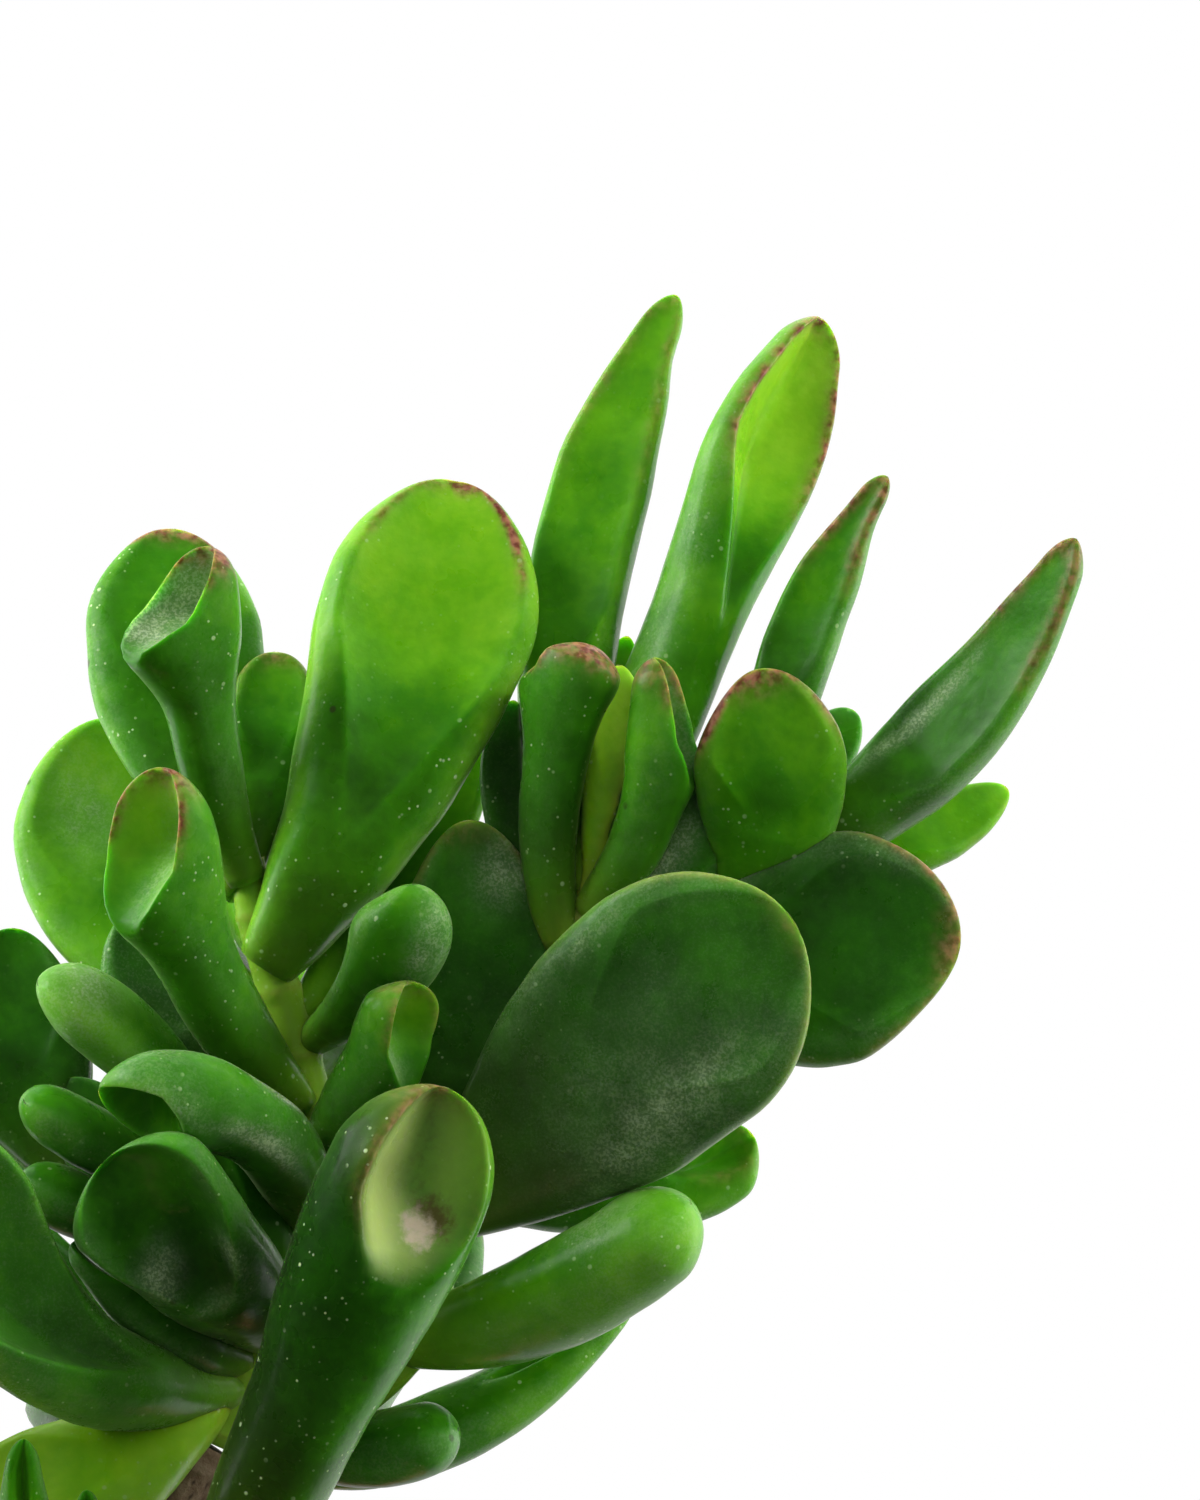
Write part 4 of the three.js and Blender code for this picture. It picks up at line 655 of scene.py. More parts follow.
def path_point(path, t):
    """The point at t of a smooth curve through the path's points."""
    points = np.array(path, float)
    points = np.concatenate([[2 * points[0] - points[1]], points, [2 * points[-1] - points[-2]]])
    place = np.clip(t, 0, 1) * (len(path) - 1)
    i = np.minimum(np.floor(place).astype(int), len(path) - 2)
    w = (place - i)[..., None]
    x0, x1, x2, x3 = (points[i + k] for k in range(4))
    v0, v1 = (x2 - x0) / 2, (x3 - x1) / 2
    cubic = 2 * x1 - 2 * x2 + v0 + v1
    square = -3 * x1 + 3 * x2 - 2 * v0 - v1
    return cubic * w ** 3 + square * w ** 2 + v0 * w + x1


def path_frame(path, t):
    """At t along a path: the point, and the ways along, across and to the side."""
    along = unit(path_point(path, np.minimum(t + 1e-4, 1)) - path_point(path, np.maximum(t - 1e-4, 0)))
    side = unit(np.array([0.0, 1.0, 0.0]) - along[..., 1:2] * along)
    return path_point(path, t), along, np.cross(side, along), side


def tube(path, radii, spacing):
    """Along a round stem: the length so far, the centres with their across and side ways, the radius."""
    coarse = path_point(path, np.linspace(0, 1, 60))
    length = np.linalg.norm(np.diff(coarse, axis=0), axis=1).sum()
    t = np.linspace(0, 1, max(6, int(length / spacing)))
    centre, _, across, side = path_frame(path, t)
    radius = radii[0] + (radii[1] - radii[0]) * t
    return (t * length)[:, None], (centre, across, side), radius[:, None]


def add_stem(skin, path, radii, seed):
    """A green stem with swollen joints."""
    run, line, radius = tube(path, radii, STEM_STEP)
    to_joint = np.abs((run / JOINT_SPACING + 0.3 + seed * 0.37) % 1 - 0.5) * JOINT_SPACING
    r = radius * (1 + JOINT_SWELL * bell(to_joint / JOINT_WIDTH))
    angle = circle(STEM_SIDES)
    grid = swept(*line, r * np.cos(angle), r * np.sin(angle))
    skin.add(grid, tone=0.55, pale=0.55, dots=0.3, brown=0.3 * bell(to_joint / 0.4), bloom=0.1)


def add_branch(skin, path, radii, seed, sides=BRANCH_SIDES):
    """A woody branch: ridged bark, with raised rings where leaves once grew."""
    run, line, radius = tube(path, radii, BRANCH_STEP)
    to_ring = np.abs((run / RING_SPACING + seed * 0.41) % 1 - 0.5) * RING_SPACING
    ring = bell(to_ring / RING_WIDTH)
    angle = circle(sides)
    smooth = swept(*line, radius * np.cos(angle), radius * np.sin(angle))
    ridges = np.abs(np.sin(angle * 5 + lumps(smooth, 9, seed) * 1.6 + run * 0.12))
    rough = -0.035 * (1 - ridges) ** 2 + lumps(smooth, 3, seed + 5) * 0.018
    r = radius * (0.985 + RING_SWELL * ring + rough)
    grid = swept(*line, r * np.cos(angle), r * np.sin(angle))
    skin.add(grid, tone=ridges * 0.6 + ring * 0.4, scar=ring)


# ---- shoots ----

def dice(seed):
    """A repeatable stream of values from 0 to 1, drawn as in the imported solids."""
    factor, modulus = 16807, 2147483647
    while True:
        seed = seed * factor % modulus
        yield seed / modulus


def ruled_leaves(path, pairs, first, turn, lowest, highest, open_lean, closed_lean, seed, omit):
    """Leaves in opposite pairs up a stem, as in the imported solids."""
    roll = dice(seed)
    for _ in range(5):
        next(roll)
    tones = np.random.RandomState(seed)
    leaves = []
    for k in range(pairs):
        share = k / (pairs - 1)
        at, along, across, side = path_frame(path, np.array(first + (RULED_LAST - first) * share))
        for half in range(2):
            angle = turn + k * math.pi / 2 + half * math.pi + (next(roll) - 0.5) * TURN_DRAW
            lean = open_lean + (closed_lean - open_lean) * share + (next(roll) - 0.5) * LEAN_DRAW
            length = (lowest + (highest - lowest) * share) * (0.9 + LENGTH_DRAW * next(roll))
            form = RULED_ORDER[int(next(roll) * len(RULED_ORDER))]
            out = across * math.cos(angle) + side * math.sin(angle)

            def reach(amount, slant):
                return at + length * amount * (out * math.sin(slant) + along * math.cos(slant))

            leaves.append(leaf(
                form, at + out * 0.8, reach(0.5, lean + 0.25), reach(1, lean),
                along * math.sin(lean) - out * math.cos(lean), *RULED_SIZES[form],
                tone=0.3 + 0.2 * share + tones.uniform(-0.08, 0.08), cup=0.2,
                brown=tones.uniform(0.3, 1)))
    return [leaf for index, leaf in enumerate(leaves) if index not in omit]


def build_shoot(node, stems, leaves, fineness, material, seed):
    """The leaves and the stem of a shoot, as two pieces."""
    leaf_skin = Skin()
    for index, leaf in enumerate(leaves):
        shape = leaf_shape(leaf, fineness, seed + index * 7)
        leaf_skin.add(shape.grid, **leaf_colours(leaf, shape))
    finish_piece(leaf_skin.build(node + "_leaves"), node, material)
    stem_skin = Skin()
    for index, (path, radii) in enumerate(stems):
        add_stem(stem_skin, path, radii, index)
    finish_piece(stem_skin.build(node + "_stem"), node, material)


# ---- materials ----

class Nodes:
    """Short calls for building the node tree of a material or a world."""

    def __init__(self, owner):
        owner.use_nodes = True
        self.owner = owner
        self.tree = owner.node_tree
        self.shader = self.tree.nodes.get("Principled BSDF")
        places = self.add("ShaderNodeTexCoord")
        self.place, self.direction = places.outputs["Object"], places.outputs["Generated"]

    def add(self, kind, **settings):
        node = self.tree.nodes.new(kind)
        for name, value in settings.items():
            setattr(node, name, value)
        return node

    def feed(self, socket, value):
        if isinstance(value, bpy.types.NodeSocket):
            self.tree.links.new(value, socket)
        elif socket.type == "RGBA":
            socket.default_value = (*value, 1)
        else:
            socket.default_value = value

    def fill(self, node, *in_order, **by_name):
        """Feeds a node's inputs, in their order or by name with _ for each space."""
        for socket, value in zip(node.inputs, in_order):
            self.feed(socket, value)
        for name, value in by_name.items():
            self.feed(node.inputs[name.replace("_", " ")], value)
        return node.outputs

    def value(self, name):
        return self.add("ShaderNodeAttribute", attribute_name=name).outputs["Fac"]

    def split(self, place):
        return self.fill(self.add("ShaderNodeSeparateXYZ"), place)

    def noise(self, scale, detail=2.0, roughness=0.5, distortion=0.0, place=None):
        return self.fill(
            self.add("ShaderNodeTexNoise"), Vector=place or self.place, Scale=scale, Detail=detail,
            Roughness=roughness, Distortion=distortion)["Fac"]

    def cells(self, scale):
        return self.fill(self.add("ShaderNodeTexVoronoi"), Vector=self.place, Scale=scale)["Distance"]

    def maths(self, operation, *values, clamp=False):
        """All the values joined in order by one operation. clamp keeps the result from 0 to 1."""
        result = values[0]
        for value in values[1:]:
            node = self.add("ShaderNodeMath", operation=operation)
            result = self.fill(node, result, value)[0]
        node.use_clamp = clamp
        return result

    def times(self, *values, clamp=False):
        return self.maths("MULTIPLY", *values, clamp=clamp)

    def plus(self, *values, clamp=False):
        return self.maths("ADD", *values, clamp=clamp)

    def span(self, value, low, high, to_low=0.0, to_high=1.0):
        """A smooth change from to_low where the value is low to to_high where it is high."""
        return self.fill(
            self.add("ShaderNodeMapRange", interpolation_type="SMOOTHSTEP"), Value=value, From_Min=low,
            From_Max=high, To_Min=to_low, To_Max=to_high)["Result"]

    def ramp(self, value, *stops):
        node = self.add("ShaderNodeValToRGB")
        self.fill(node, value)
        elements = node.color_ramp.elements
        while len(elements) < len(stops):
            elements.new(1.0)
        for element, (position, colour) in zip(elements, stops):
            element.position = position
            element.color = (*colour, 1)
        return node.outputs["Color"]

    def mix(self, amount, a, b):
        """Colour a, turned into b by the amount."""
        node = self.add("ShaderNodeMix", data_type="RGBA")
        for index, value in zip((0, 6, 7), (amount, a, b)):
            self.feed(node.inputs[index], value)
        return node.outputs[2]

    def bump(self, height, distance, strength=1.0, normal=None):
        node = self.add("ShaderNodeBump")
        if normal is not None:
            self.feed(node.inputs["Normal"], normal)
        return self.fill(node, Height=height, Distance=distance, Strength=strength)["Normal"]

    def set(self, **inputs):
        self.fill(self.shader, **inputs)


def leaf_material():
    """Glossy waxy leaf: deep green to lime, reddish rims, pale pores, thin whitish bloom, painted light and
    shade in the tone, and painted highlights and sheen as whitish film.
    """
    n = Nodes(bpy.data.materials.new("jade_leaf"))
    tone = n.plus(n.value("tone"), n.span(n.noise(140, 3), 0.3, 0.7, -0.07, 0.07),
                  n.span(n.noise(900), 0.3, 0.7, -0.02, 0.02))
    green = n.ramp(
        tone,
        (0.0, (0.004, 0.030, 0.001)),
        (0.2, (0.011, 0.082, 0.001)),
        (0.4, (0.031, 0.185, 0.001)),
        (0.6, (0.100, 0.335, 0.002)),
        (0.8, (0.220, 0.480, 0.010)),
        (1.0, (0.370, 0.640, 0.040)))
    colour = n.mix(n.value("pale"), green, (0.27, 0.42, 0.035))
    colour = n.mix(n.value("olive"), colour, (0.33, 0.43, 0.12))
    colour = n.mix(n.times(n.value("margin"), 0.7), colour, (0.16, 0.30, 0.03))
    # whitish bloom: fine specks, thicker in soft patches
    patches = n.span(n.noise(75, 4, 0.6), 0.40, 0.75, 0.35, 1.0)
    specks = n.span(n.noise(3600, 2, 0.7), 0.48, 0.66)
    bloom = n.times(patches, specks, n.value("bloom"))
    haze = n.times(patches, n.value("bloom"), 0.12)
    colour = n.mix(n.plus(n.times(bloom, 0.28), haze, clamp=True), colour, (0.42, 0.52, 0.32))
    # painted highlights and sheen, with some of the leaf's own dusty bloom: a whitish film in places,
    # grainy and broken up
    broken = n.span(n.noise(330, 4, 0.6), 0.30, 0.66, 0.4, 1.0)
    grainy = n.span(n.noise(3300, 2, 0.6), 0.42, 0.62, 0.4, 1.0)
    film = n.times(broken, grainy, n.value("frost"))
    colour = n.mix(n.times(film, 0.55, clamp=True), colour, (0.36, 0.48, 0.26))
    # pale pores, large and small
    pores = n.maths("MAXIMUM", n.span(n.cells(430), 0.135, 0.065), n.span(n.cells(950), 0.17, 0.08))
    pores = n.times(pores, n.span(n.noise(230), 0.42, 0.60), n.value("dots"))
    colour = n.mix(n.times(pores, 0.8), colour, (0.55, 0.72, 0.38))
    # rare dark specks
    fleck = n.times(n.span(n.cells(105), 0.05, 0.03), n.value("dots"), 0.8)
    colour = n.mix(fleck, colour, (0.03, 0.03, 0.012))
    # reddish-brown rim, uneven along its length
    rim = n.times(n.value("brown"), n.span(n.noise(620, 3, 0.6), 0.3, 0.7, 0.35, 1.15), clamp=True)
    rim_colour = n.mix(n.span(n.noise(1100), 0.35, 0.65), (0.115, 0.028, 0.016), (0.30, 0.13, 0.075))
    colour = n.mix(rim, colour, rim_colour)
    # a torn, dried edge
    torn = n.times(n.value("torn"), n.span(n.noise(420, 3), 0.30, 0.55))
    colour = n.mix(torn, colour, (0.40, 0.47, 0.32))
    # the scar in the big trumpet: whitish and dry, with a brown stain beside it
    grain = n.span(n.noise(1300, 3, 0.6), 0.3, 0.7, -0.16, 0.16)
    stain = n.span(n.plus(n.value("stain"), grain), 0.15, 0.95, 0, 0.85)
    colour = n.mix(stain, colour, (0.085, 0.055, 0.018))
    scar = n.span(n.plus(n.value("scar"), grain), 0.20, 1.0, 0, 0.9)
    colour = n.mix(scar, colour, (0.56, 0.47, 0.36))
    rough = n.plus(n.span(n.noise(220, 3), 0.3, 0.7, 0.22, 0.36), n.times(n.value("cup"), 0.04),
                   n.times(bloom, 0.35), n.times(n.value("scar"), 0.4), clamp=True)
    skin_bump = n.bump(n.noise(1500), 0.00006, 0.5)
    wavy = n.bump(n.noise(260), 0.0004, 0.35, skin_bump)
    n.set(Base_Color=colour, Roughness=rough, Normal=n.bump(pores, 0.00008, 0.6, wavy))
    n.set(Subsurface_Weight=0.7, Subsurface_Scale=0.002, Subsurface_Radius=(0.55, 1.0, 0.18))
    n.set(IOR=1.3, Specular_IOR_Level=0.5, Coat_Weight=0.12, Coat_Roughness=0.2)
    n.set(Sheen_Weight=0.12, Sheen_Roughness=0.35, Sheen_Tint=(0.7, 0.9, 0.45))
    return n.owner


def bark_material():
    """Grey-brown bark: darker fissures, paler rings, specks of lichen-like dust."""
    n = Nodes(bpy.data.materials.new("bark"))
    broad = n.noise(130, 4, 0.6)
    fine = n.noise(900, 4, 0.65)
    base = n.ramp(
        broad,
        (0.30, (0.075, 0.045, 0.022)),
        (0.50, (0.150, 0.095, 0.050)),
        (0.70, (0.240, 0.170, 0.100)))
    colour = n.mix(n.span(fine, 0.35, 0.7, 0, 0.6), base, (0.30, 0.23, 0.15))
    colour = n.mix(n.span(n.value("tone"), 0.35, 0.0), colour, (0.035, 0.022, 0.012))
    colour = n.mix(n.times(n.value("scar"), 0.45), colour, (0.26, 0.20, 0.13))
    n.set(Base_Color=colour, Roughness=n.span(fine, 0.3, 0.7, 0.65, 0.95))
    n.set(Normal=n.bump(broad, 0.0008, 0.5, n.bump(fine, 0.0004, 0.8)))
    return n.owner


def soil_material():
    """Dark potting mix with lighter fibres."""
    n = Nodes(bpy.data.materials.new("potting_mix"))
    crumbs = n.cells(900)
    colour = n.ramp(
        n.noise(500, 5, 0.7),
        (0.30, (0.012, 0.008, 0.005)),
        (0.55, (0.045, 0.028, 0.016)),
        (0.75, (0.110, 0.070, 0.040)))
    n.set(Base_Color=colour, Roughness=n.span(crumbs, 0, 0.6, 0.8, 1.0))
    n.set(Normal=n.bump(n.plus(crumbs, n.noise(1500, 4)), 0.0008, 0.8))
    return n.owner


def grain_material():
    """Loose grains on the soil: each one peat, bark or pale grit by its own value."""
    n = Nodes(bpy.data.materials.new("grains"))
    colour = n.ramp(
        n.value("tone"),
        (0.00, (0.020, 0.013, 0.008)),
        (0.45, (0.070, 0.042, 0.022)),
        (0.75, (0.190, 0.115, 0.060)),
        (0.93, (0.420, 0.370, 0.300)),
        (1.00, (0.700, 0.680, 0.640)))
    fine = n.noise(2500, 3)
    colour = n.mix(n.span(fine, 0.35, 0.65, 0, 0.35), colour, (0.02, 0.013, 0.008))
    n.set(Base_Color=colour, Roughness=n.span(fine, 0.3, 0.7, 0.75, 1.0))
    n.set(Normal=n.bump(fine, 0.0003, 0.7))
    return n.owner


def terracotta_material():
    """Unglazed clay: orange-brown with turning lines, dark grit and chalky bloom."""
    n = Nodes(bpy.data.materials.new("terracotta"))
    height = n.split(n.place)["Z"]
    fine = n.noise(700, 4, 0.6)
    colour = n.ramp(
        n.noise(28, 4, 0.55),
        (0.30, (0.400, 0.150, 0.075)),
        (0.50, (0.520, 0.215, 0.110)),
        (0.72, (0.620, 0.290, 0.165)))
    colour = n.mix(n.span(fine, 0.3, 0.75, 0, 0.25), colour, (0.66, 0.36, 0.24))
    grit = n.times(n.span(n.cells(420), 0.10, 0.04), 0.5)
    colour = n.mix(grit, colour, (0.16, 0.06, 0.035))
    # chalky bloom: strongest low on the wall, weaker at the rim, broken up by noise
    low = n.span(height, 0.030, 0.0, 0, 0.8)
    high = n.span(height, 0.058, 0.070, 0, 0.35)
    chalk = n.times(n.plus(low, high), n.span(n.noise(60, 5, 0.7, 0.4), 0.42, 0.66), 0.75)
    colour = n.mix(chalk, colour, (0.74, 0.63, 0.55))
    n.set(Base_Color=colour, Roughness=n.span(fine, 0.3, 0.7, 0.72, 0.92))
    # turning lines: noise pressed flat
    pressed = n.fill(n.add("ShaderNodeMapping"), Vector=n.place, Scale=(6, 6, 520))[0]
    turning = n.bump(n.noise(1, place=pressed), 0.0003, 0.5)
    n.set(Normal=n.bump(fine, 0.00015, 0.7, turning))
    return n.owner


def floor_material():
    """A pale matt sheet that glows more and more far out, painted light that carries it into the white
    around it.
    """
    n = Nodes(bpy.data.materials.new("studio_floor"))
    colour = n.mix(n.span(n.noise(9), 0.3, 0.7), (0.80, 0.80, 0.795), (0.84, 0.84, 0.835))
    from_middle = n.fill(n.add("ShaderNodeVectorMath", operation="LENGTH"), n.place)["Value"]
    # painted light: the sheet glows more and more far out, where it would otherwise fall into shade
    painted_glow = n.span(from_middle, *FLOOR_GLOW, 0, 0.7)
    n.set(Base_Color=colour, Roughness=0.9, Emission_Color=(1, 1, 1), Emission_Strength=painted_glow)
    return n.owner


# ---- pot and soil ----

def inner_radius(z):
    """The radius of the pot's inside at a height."""
    return POT_FOOT_INSIDE + (POT_TOP_INSIDE - POT_FOOT_INSIDE) * (z / POT_HEIGHT)


def softened(corners, radius, steps=4):
    """The outline with each inner corner rounded."""
    corners = [np.array(c, float) for c in corners]
    outline = [corners[0]]
    for before, corner, after in zip(corners, corners[1:], corners[2:]):
        back, on = before - corner, after - corner
        reach = min(radius, np.linalg.norm(back) / 2.2, np.linalg.norm(on) / 2.2)
        a, b = corner + unit(back) * reach, corner + unit(on) * reach
        for w in np.linspace(0, 1, steps + 1):
            outline.append((1 - w) ** 2 * a + 2 * w * (1 - w) * corner + w ** 2 * b)
    outline.append(corners[-1])
    return outline


def turned_mesh(name, outline, sides):
    """A body turned about the Z axis from an outline that starts and ends on the axis."""
    bm = bmesh.new()
    rings = []
    for r, z in outline:
        angles = circle(sides) if r > 1e-6 else [0]
        rings.append([bm.verts.new((r * math.cos(a) * MM, r * math.sin(a) * MM, z * MM)) for a in angles])
    for low, high in zip(rings, rings[1:]):
        for j in range(sides):
            k = (j + 1) % sides
            if len(low) == 1:
                bm.faces.new((low[0], high[k], high[j]))
            elif len(high) == 1:
                bm.faces.new((low[j], low[k], high[0]))
            else:
                bm.faces.new((low[j], low[k], high[k], high[j]))
    bmesh.ops.recalc_face_normals(bm, faces=bm.faces)
    return put_bmesh(name, bm)


def smooth_by_angle(piece, degrees):
    """Smooth faces, with edges sharper than this kept sharp."""
    bm = bmesh.new()
    bm.from_mesh(piece.data)
    for face in bm.faces:
        face.smooth = True
    for edge in bm.edges:
        if len(edge.link_faces) == 2 and edge.calc_face_angle(0) > math.radians(degrees):
            edge.smooth = False
    bm.to_mesh(piece.data)
    bm.free()


def build_pot(material):
    """The pot: a tapering wall with a rolled rim, and drain holes in its floor."""
    shoulder = POT_HEIGHT - POT_RIM_HEIGHT
    wall_top = inner_radius(shoulder) + POT_WALL
    corners = [
        (0, 0), (POT_FOOT_RADIUS, 0), (wall_top, shoulder - 0.6),
        (POT_RIM_RADIUS - POT_RIM_TAPER, shoulder), (POT_RIM_RADIUS, POT_HEIGHT),
        (inner_radius(POT_HEIGHT), POT_HEIGHT), (inner_radius(POT_FLOOR), POT_FLOOR), (0, POT_FLOOR),
    ]
    pot = turned_mesh("pot_body", softened(corners, POT_ROUNDING), POT_SIDES)
    below, above = -1, POT_FLOOR + 1
    drill = [(0, below), (DRAIN_RADIUS, below), (DRAIN_RADIUS, above), (0, above)]
    cutter = turned_mesh("drain_cutter", drill, DRAIN_SIDES)
    for angle in circle(DRAIN_HOLES) + DRAIN_TURN:
        cutter.location = (DRAIN_CIRCLE * math.cos(angle) * MM, DRAIN_CIRCLE * math.sin(angle) * MM, 0)
        bpy.context.view_layer.update()
        cut = pot.modifiers.new("drain", "BOOLEAN")
        cut.operation = "DIFFERENCE"
        cut.object = cutter
        cut.solver = "EXACT"
        whole = bpy.data.meshes.new_from_object(pot.evaluated_get(bpy.context.evaluated_depsgraph_get()))
        pot.modifiers.clear()
        pot.data = whole
    bpy.data.objects.remove(cutter)
    smooth_by_angle(pot, POT_SHARP_ANGLE)
    finish_piece(pot, "pot", material)


def soil_height(x, y):
    """The height of the soil's uneven top: the solid's broad waves."""
    broad = np.sin(0.21 * x + 0.8) * np.cos(0.17 * y)
    small = 0.6 * np.sin(0.33 * y - 0.2 * x)
    return SOIL_TOP + SOIL_BUMP * (broad + small)


def build_soil(material):
    """The soil: a plain plug with a crumbly top and a hole for the trunk."""
    angle = circle(SOIL_SIDES)
    hole = TRUNK_RADIUS + GAP

    def flat_ring(radius, z):
        return np.stack([radius * np.cos(angle), radius * np.sin(angle), np.full(SOIL_SIDES, float(z))], -1)

    rings = [
        flat_ring(inner_radius(POT_FLOOR) - SOIL_CHAMFER - GAP, POT_FLOOR + GAP),
        flat_ring(inner_radius(POT_FLOOR + SOIL_CHAMFER) - GAP, POT_FLOOR + SOIL_CHAMFER + GAP),
    ]
    for radius in np.linspace(inner_radius(SOIL_TOP) - GAP - 0.2, hole, SOIL_RINGS):
        ring = flat_ring(radius, 0)
        crumbs = sum(lumps(ring, size, seed) * amount for size, seed, amount in SOIL_CRUMBS)
        ring[:, 2] = soil_height(ring[:, 0], ring[:, 1]) + crumbs
        rings.append(ring)
    rings.append(flat_ring(hole, TRUNK_FOOT - GAP))
    skin = Skin()
    skin.add(np.array(rings))
    finish_piece(skin.build("soil_body"), "soil", material)


def rotation(angle, first, second):
    """A turn that takes one axis towards another."""
    turn = np.eye(3)
    turn[first, first] = turn[second, second] = math.cos(angle)
    turn[second, first] = math.sin(angle)
    turn[first, second] = -math.sin(angle)
    return turn


def ball(around, rings, open_end):
    """A coarse unit ball as a grid of rings, from open_end below its top to as much above its foot."""
    phi = circle(around)
    theta = np.linspace(open_end, math.pi - open_end, rings)
    across = np.outer(np.sin(theta), np.cos(phi)), np.outer(np.sin(theta), np.sin(phi))
    return np.stack([*across, np.outer(np.cos(theta), np.ones(around))], -1)[:, ::-1]


def build_grains(material):
    """Loose crumbs, bark chips and grit lying on the soil, in one piece."""
    rng = np.random.RandomState(GRAIN_SEED)
    skin = Skin()
    inner, outer = TRUNK_RADIUS + 1.5, inner_radius(SOIL_TOP) - 2
    pebble = ball(around=6, rings=5, open_end=0.25)
    for _ in range(GRAINS):
        radius = math.sqrt(rng.uniform(inner ** 2, outer ** 2))
        a = rng.uniform(0, FULL_TURN)
        x, y = radius * math.cos(a), radius * math.sin(a)
        size = rng.choice(GRAIN_SIZES, p=GRAIN_SHARES) * rng.uniform(0.8, 1.2)
        shape = size * np.array([rng.uniform(0.8, 1.5), rng.uniform(0.6, 1.0), rng.uniform(0.35, 0.8)])
        grain = pebble * (1 + rng.uniform(-0.18, 0.18, pebble.shape[:2] + (1,))) * shape
        spin = rotation(rng.uniform(0, FULL_TURN), 0, 1)
        tilt = rotation(rng.uniform(-0.5, 0.5), 1, 2)
        at = np.array([x, y, float(soil_height(x, y)) + size * 0.25])
        tone = rng.beta(1.2, 2.2) if size > 0.6 else rng.uniform(0, 1)
        skin.add(grain @ tilt.T @ spin.T + at, tone=tone)
    finish_piece(skin.build("soil_grains"), "soil", material)


def build_trunk(material):
    """The trunk's foot in the soil and the woody branches."""
    skin = Skin()
    foot = [[0, 0, TRUNK_FOOT], [0, 0, 50], [0, 0, SOIL_TOP + 6]]
    add_branch(skin, foot, [TRUNK_RADIUS - 0.4, TRUNK_RADIUS - 0.7], TRUNK_SEED, TRUNK_SIDES)
    for index, (path, radii) in enumerate(TRUNK_BRANCHES):
        add_branch(skin, path, radii, index)
    finish_piece(skin.build("trunk_wood"), "trunk", material)


# ---- studio ----

CAMERA_AT = (0.060, -1.200, 0.175)
CAMERA_LENS = 288.0
CAMERA_SENSOR = 36.0  # with that lens: 120 by 150 mm at the plant's axis
PLANT_MIDDLE = (0.04, 0.0, 0.15)
FLOOR_RADIUS = 1.2
FLOOR_SIDES = 128
FLOOR_GLOW = (0.3, 0.9)  # how far from the middle the painted glow starts and ends
FLOOR_DROP = 0.0002  # below the pot's foot

# Each light's place, size, and watts for colour and for gloss
LIGHTS = {
    "upper_left": ((-0.60, -0.10, 0.60), (0.35, 0.35), 6.0, 3.5),
    "upper_right": ((0.60, -0.15, 0.50), (0.30, 0.35), 4.0, 0.7),
    "side_left": ((-0.75, 0.15, 0.30), (0.3, 0.8), 8.0, 4.0),
    "side_right": ((0.80, 0.10, 0.30), (0.3, 0.8), 4.0, 3.0),
    "back_top": ((0.15, 0.60, 0.80), (0.8, 0.5), 7.0, 1.0),
}

# How bright the surroundings are to gloss, at the sides and straight behind, and to the rest:
# in front, added from above and added from behind.
GLOSS_SIDES, GLOSS_BEHIND = 2.5, 0.9
SOFT_FRONT, SOFT_ABOVE, SOFT_BEHIND = 0.44, 0.60, 0.12


def build_camera():
    data = bpy.data.cameras.new("camera")
    data.lens = CAMERA_LENS
    data.sensor_width = CAMERA_SENSOR
    data.clip_start = 0.05
    data.clip_end = 20.0
    camera = put("camera", data)
    camera.location = CAMERA_AT
    camera.rotation_euler = (math.pi / 2, 0, 0)
    bpy.context.scene.camera = camera


def area_light(name, at, size, colour_watts, gloss_watts):
    """A soft panel, as two lights: one for the plant's colours and one for its gloss."""
    x, y, z = np.array(PLANT_MIDDLE) - np.array(at)
    for kind, watts in (("colour", colour_watts), ("gloss", gloss_watts)):
        data = bpy.data.lights.new(name + "_" + kind, "AREA")
        data.shape = "RECTANGLE"
        data.size, data.size_y = size
        data.energy = watts
        light = put(name + "_" + kind, data)
        light.location = at
        light.rotation_euler = (math.atan2(math.hypot(x, y), -z), 0, math.atan2(y, x) - math.pi / 2)
        light.visible_camera = False
        light.visible_diffuse = kind == "colour"
        light.visible_glossy = kind == "gloss"


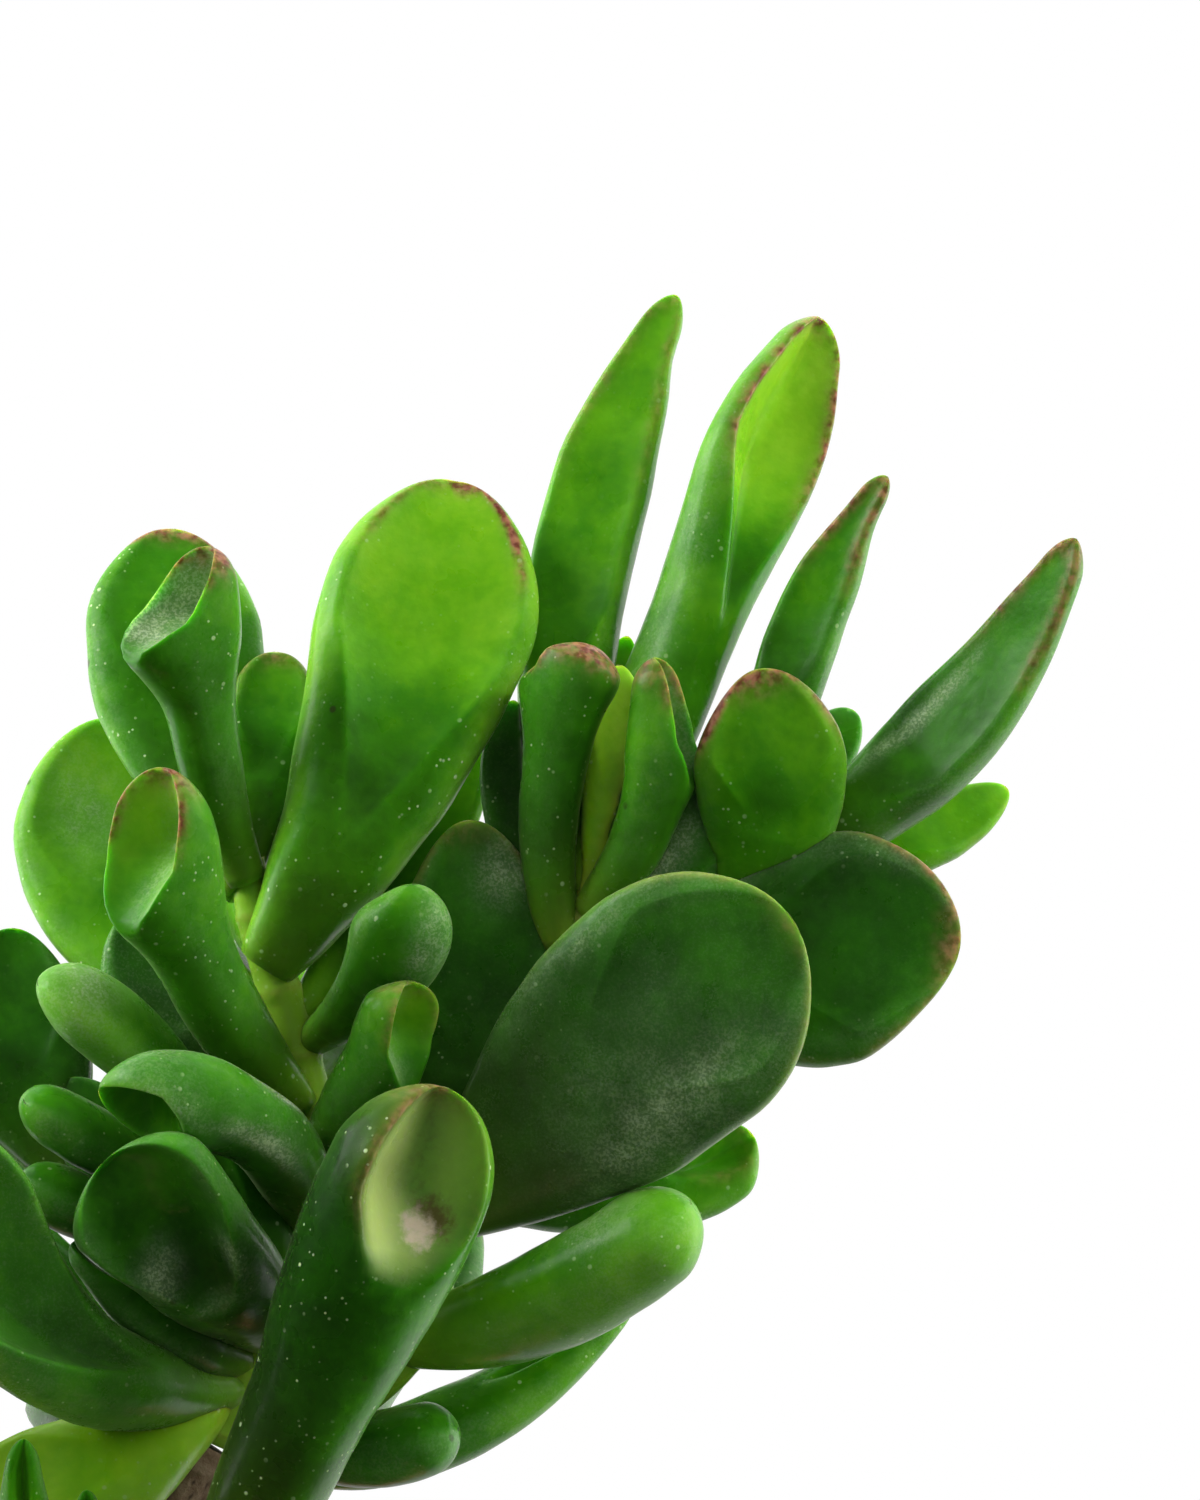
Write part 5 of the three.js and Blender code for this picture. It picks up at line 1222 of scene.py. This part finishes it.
def build_world():
    """White to the camera; dark in front and bright behind to gloss; soft all round to the rest."""
    world = bpy.data.worlds.new("studio")
    n = Nodes(world)
    world.cycles.sampling_method = "NONE"  # sampled as a light, it would lend gloss the soft surroundings
    n.tree.nodes.remove(n.tree.nodes["Background"])
    way = n.split(n.direction)
    ray = n.add("ShaderNodeLightPath").outputs

    def background(strength):
        return n.fill(n.add("ShaderNodeBackground"), Color=(1, 1, 1), Strength=strength)[0]

    def blend(amount, a, b):
        return n.fill(n.add("ShaderNodeMixShader"), amount, a, b)[0]

    up = n.maths("MAXIMUM", way["Z"], 0)
    down = n.maths("MINIMUM", way["Z"], 0)
    sides = n.span(way["Y"], -0.05, 0.35)
    behind = n.span(way["Y"], 0.35, 1.0, GLOSS_SIDES, GLOSS_BEHIND)
    level = n.plus(n.times(n.maths("SUBTRACT", down, up), 0.7), 1)
    gloss = background(n.times(sides, behind, level))

    rear = n.times(n.maths("MAXIMUM", way["Y"], 0), SOFT_BEHIND)
    bright = n.plus(n.times(up, SOFT_ABOVE), SOFT_FRONT, rear)
    soft = background(n.times(bright, n.plus(n.times(down, 0.4), 1)))
    lit = blend(ray["Is Glossy Ray"], soft, gloss)
    seen = blend(ray["Is Camera Ray"], lit, background(1))
    n.fill(n.tree.nodes["World Output"], Surface=seen)
    bpy.context.scene.world = world


def build_floor(material):
    """A pale round sheet that the pot stands on."""
    bm = bmesh.new()
    bmesh.ops.create_circle(bm, cap_ends=True, segments=FLOOR_SIDES, radius=FLOOR_RADIUS)
    floor = put_bmesh("studio_floor", bm)
    floor.location = (0, 0, -FLOOR_DROP)
    floor.data.materials.append(material)
    floor.visible_diffuse = False
    floor.visible_glossy = False


# ---- the scene ----

def main():
    jade = leaf_material()
    fineness = SEEN_LEAF
    for name, (stems, leaves, seed) in SHOOTS.items():
        build_shoot(name, stems, leaves, fineness, jade, seed)
    for name, (path, radii, seed, rule) in RULED_SHOOTS.items():
        build_shoot(name, [(path, radii)], ruled_leaves(path, **rule), UNSEEN_LEAF, jade, seed)
    build_trunk(bark_material())
    build_soil(soil_material())
    build_grains(grain_material())
    build_pot(terracotta_material())
    build_floor(floor_material())
    build_camera()
    for name, values in LIGHTS.items():
        area_light(name, *values)
    build_world()
    bpy.context.scene.view_settings.view_transform = "Standard"


main()
